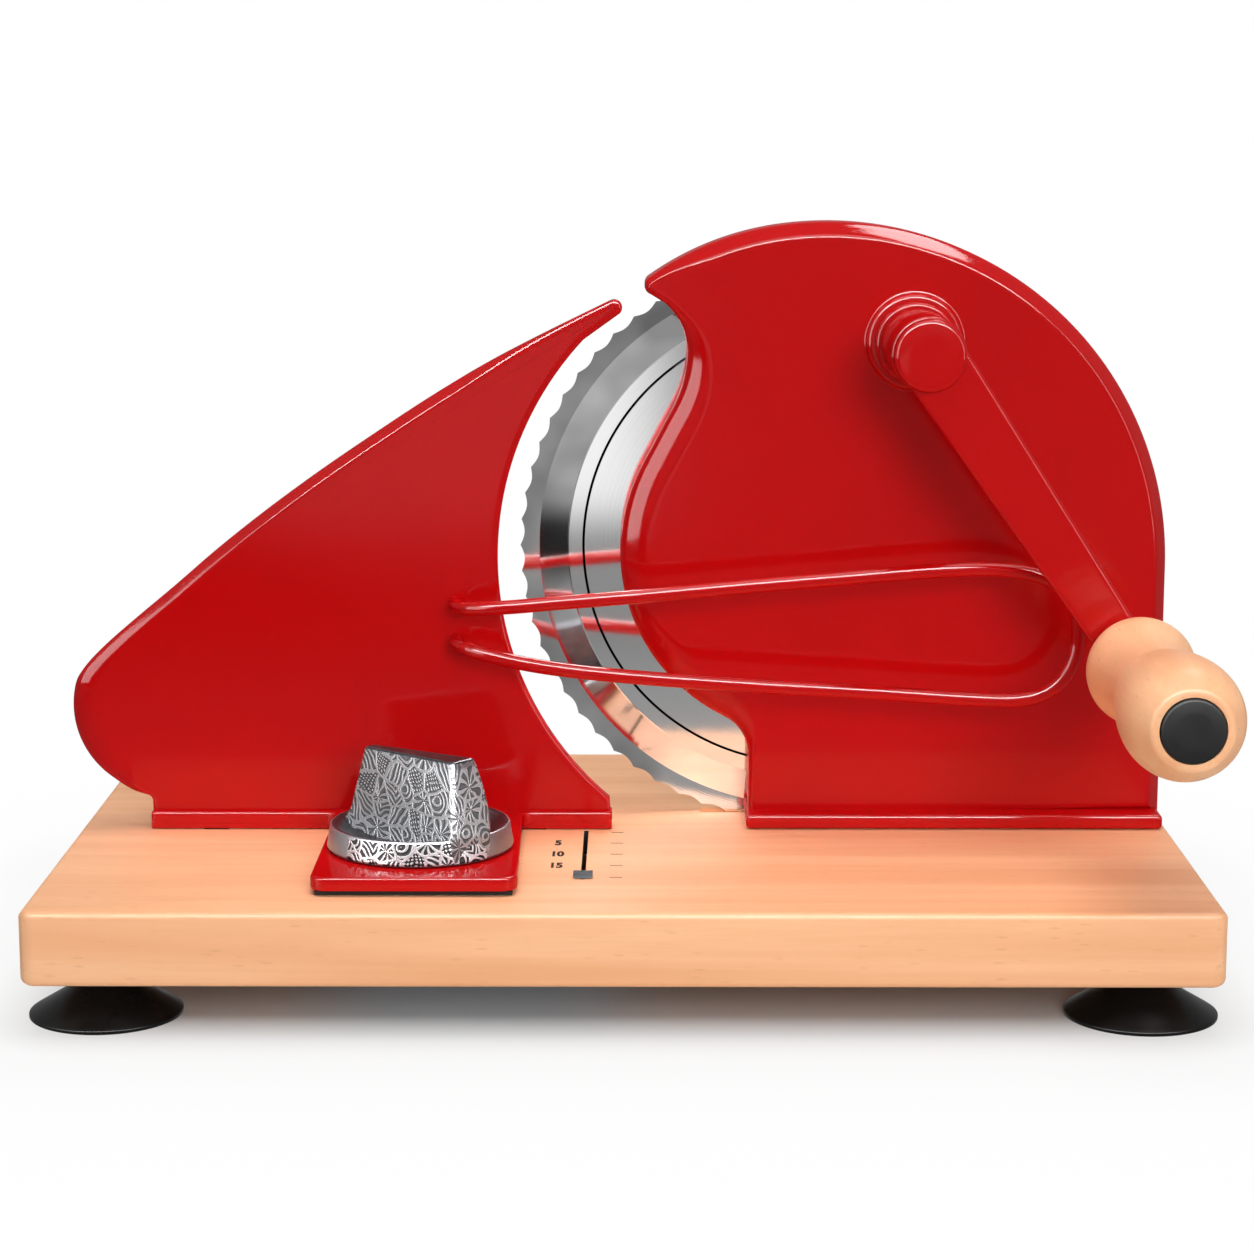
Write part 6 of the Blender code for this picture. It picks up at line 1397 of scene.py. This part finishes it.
def make_stage():
    """A pale floor that fades into the white backdrop, and that keeps the shadow.

    A surface that mirrors it sees a grey room with a dark card lying at its left and, in a lane to
    the left of the middle, white further out. These draw the bands on the blade.
    """
    made, tree, shader, where = new_finish("studio_floor", "#C6C6C6", 0.85, Specular_IOR_Level=0.1)
    path = add(tree, "LightPath")
    low, high = BOARD_LOW, BOARD_HIGH
    middle = ((low.x + high.x) / 2, (low.y + high.y) / 2, 0)
    reach = ((high.x - low.x) / 2 - SHADOW_INSET, (high.y - low.y) / 2 - SHADOW_INSET, 0)
    off_middle = add(tree, "VectorMath", {0: where, 1: middle}, operation="SUBTRACT")
    aside = add(tree, "VectorMath", {0: off_middle}, operation="ABSOLUTE")
    beyond = add(tree, "VectorMath", {0: aside, 1: reach}, operation="SUBTRACT")
    outside = add(tree, "VectorMath", {0: beyond, 1: (0, 0, 0)}, operation="MAXIMUM")
    distance = add(tree, "VectorMath", {0: outside}, operation="LENGTH")
    spread = add(tree, "MapRange", {"Value": distance, 1: 0.0, 2: SHADOW_REACH})
    seen = add(tree, "ValToRGB", {"Fac": spread}, stops=(
        (0.0, "#000000"), (1.0, "#FFFFFF"), (0.11, "#C8C8C8"), (0.22, "#F0F0F0"),
        (0.45, "#FCFCFC")))
    camera_share = add(tree, "Math", {0: seen, 1: path.outputs["Is Camera Ray"]},
                       operation="MULTIPLY")
    away = add(tree, "VectorMath", {0: where}, operation="LENGTH")
    far = add(tree, "MapRange", {"Value": away, 1: 0.0, 2: ROOM_REACH})
    across = add(tree, "SeparateXYZ", {0: where}).outputs[0]
    lane = within(tree, across, *LANE_BAND)
    room = add(tree, "ValToRGB", {"Fac": far}, stops=(
        (0.0, "#B0B0B0"), (1.0, "#969696"), (0.40, "#8A8A8A")))
    open_room = add(tree, "ValToRGB", {"Fac": far}, stops=(
        (0.0, "#A8A8A8"), (1.0, "#FFFFFF"), (0.40, "#8C8C8C"), (0.70, "#8C8C8C"),
        (0.84, "#FFFFFF")))
    room = add(tree, "Mix", {0: lane, 6: room, 7: open_room}, data_type="RGBA")
    beside = add(tree, "VectorMath", {0: where, 1: CARD_ACROSS}, operation="DOT_PRODUCT")
    strip = within(tree, beside, *CARD_BAND)
    near_end = add(tree, "MapRange", {"Value": away, 1: CARD_NEAR_SPAN[0], 2: CARD_NEAR_SPAN[1]})
    far_end = add(tree, "MapRange", {"Value": away, 1: CARD_FAR_SPAN[0],
                                     2: CARD_FAR_SPAN[1], 3: 1.0, 4: 0.0})
    length = add(tree, "Math", {0: near_end, 1: far_end}, operation="MULTIPLY")
    on_card = add(tree, "Math", {0: strip, 1: length}, operation="MULTIPLY")
    card = add(tree, "MapRange", {"Value": on_card, 3: 1.0, 4: CARD_SHADE})
    mirrored = add(tree, "Mix", {0: 1.0, 6: room, 7: card}, data_type="RGBA", blend_type="MULTIPLY")
    mirror_ray = mirror_rays(tree, path)
    glow = add(tree, "Mix", {0: mirror_ray, 6: (1, 1, 1, 1), 7: mirrored}, data_type="RGBA")
    share = add(tree, "Math", {0: camera_share, 1: mirror_ray}, operation="MAXIMUM")
    white = add(tree, "Emission", {"Color": glow, "Strength": 1.0})
    mixed = add(tree, "MixShader", {0: share, 1: shader, 2: white})
    tree.links.new(mixed.outputs[0], tree.nodes["Material Output"].inputs[0])
    shape = bmesh.new()
    bmesh.ops.create_circle(shape, cap_ends=True, segments=96, radius=FLOOR_RADIUS)
    mesh = bpy.data.meshes.new("floor")
    shape.to_mesh(mesh)
    shape.free()
    mesh.materials.append(made)
    new_object("floor", mesh)


def light(name, location, size, power, diffuse=True, gloss=True):
    """An area lamp. Without gloss it isn't mirrored, and without diffuse it only is."""
    lamp = bpy.data.lights.new(name, "AREA")
    lamp.shape = "RECTANGLE"
    lamp.size, lamp.size_y = size
    lamp.energy = power
    item = new_object(name, lamp)
    item.location = location
    way = Vector(LAMP_AIM) - Vector(location)
    item.rotation_euler = way.to_track_quat("-Z", "Y").to_euler()
    item.visible_diffuse = diffuse
    item.visible_glossy = gloss


def make_studio():
    """A white room with one soft lamp overhead and one in front, and the camera.

    Four more lamps are only seen mirrored: they draw the highlights on enamel and metal.
    """
    scene = bpy.context.scene
    scene.view_settings.view_transform = "Standard"
    world = bpy.data.worlds.new("white_studio")
    scene.world = world
    world.use_nodes = True
    tree = world.node_tree
    plain = tree.nodes["Background"]
    plain.inputs["Color"].default_value = (1, 1, 1, 1)
    plain.inputs["Strength"].default_value = 0.35
    seen = add(tree, "Background", {"Color": (1, 1, 1, 1), "Strength": 1.0})
    # Mirrored: a grey wall behind, and a room in front that is white overhead and greyer below
    towards = add(tree, "TexCoord").outputs["Generated"]
    split = add(tree, "SeparateXYZ", {0: towards})
    up = add(tree, "MapRange", {"Value": split.outputs[2], 1: -0.2, 2: 1.0})
    room = add(tree, "ValToRGB", {"Fac": up}, stops=(
        (0.0, "#A0A0A0"), (1.0, "#FFFFFF"), (0.35, "#B8B8B8"), (0.7, "#F0F0F0")))
    behind = add(tree, "MapRange", {"Value": split.outputs[1], 1: -0.05, 2: 0.3})
    around = add(tree, "Mix", {0: behind, 6: room, 7: "#A8A8A8"}, data_type="RGBA")
    mirrored = add(tree, "Background", {"Color": around, "Strength": 1.0})
    path = add(tree, "LightPath")
    first = add(tree, "MixShader", {0: mirror_rays(tree, path), 1: plain, 2: mirrored})
    second = add(tree, "MixShader", {0: path.outputs["Is Camera Ray"], 1: first, 2: seen})
    tree.links.new(second.outputs[0], tree.nodes["World Output"].inputs[0])

    light("overhead", (0.0, -0.05, 1.3), (0.9, 0.7), 10.0)
    light("front", (0.4, -1.5, 0.55), (0.55, 0.45), 12.0, gloss=False)
    light("left_highlight", (-1.15, -0.8, 0.45), (1.0, 1.0), 32.0, diffuse=False)
    light("top_highlight", (0.0, -0.95, 1.15), (2.4, 0.5), 170.0, diffuse=False)
    light("right_highlight", (1.05, -0.85, 0.4), (0.35, 0.8), 8.0, diffuse=False)
    light("rear_highlight", (0.5, 0.6, 1.35), (0.45, 0.35), 8.0, diffuse=False)

    camera = bpy.data.cameras.new("camera")
    camera.lens = 85.0
    camera.sensor_width = 36.0
    item = new_object("camera", camera)
    item.location = CAMERA_PLACE
    item.rotation_euler = (radians(90 - CAMERA_DOWN), 0, radians(CAMERA_LEFT))
    scene.camera = item


def dress():
    """Make the finishes, and with them the studio and every visible piece."""
    make_studio()
    make_stage()
    enamel = red_enamel()
    board_wood = beech("lacquered_beech_board", "#FBC294", "#F0AF80", 0, 0.4)
    grip_wood = beech("lacquered_beech_grip", "#FBC294", "#F0AD7E", 1, 0.36)
    plated = plain_metal("zinc_plated_steel", "#B9BBC0", 0.34, 0.4)
    zinc = plain_metal("tumbled_zinc", "#3E4143", 0.4, 0.3)
    brass = plain_metal("turned_brass", "#C9A24E", 0.32, 0.3)
    sheet = plain_metal("galvanised_sheet", "#AEB0B3", 0.42, 0.9)
    rubber = moulded("moulded_black_rubber", "#0D0D0D", 0.3, 0.5)
    plastic = moulded("moulded_black_plastic", "#1E1E1E", 0.45, 0.35)
    nylon = moulded("moulded_grey_nylon", "#8A8C8F", 0.45, 0.4)
    # A near-black finish for the pointer slot's walls: painted shade
    dark = moulded("painted_slot_shade", "#16120E", 0.7, 0.4)
    make_board(board_wood, dark)
    make_feet(rubber)
    make_housing(enamel)
    make_blade(blade_steel())
    make_blade_fixings(plated)
    make_crank(enamel)
    make_grip(grip_wood, plastic)
    make_plate(enamel)
    make_wire(enamel)
    # The middle colour of each knob finish is the painted shade beside its raised lines
    make_knob(cast_zinc("chased_zinc_skirt", True, "#1C1D20", "#060607", "#CFCFD1"),
              cast_zinc("chased_zinc_fin", False, "#4C4D50", "#1C1D1F", "#A2A3A6"))
    make_pointer(zinc)
    make_scale(printing_ink())
    make_screws(plated)
    finish_inner_nodes({"red": enamel, "black": plastic, "nylon": nylon, "brass": brass,
                        "sheet": sheet, "plated": plated})


dress()
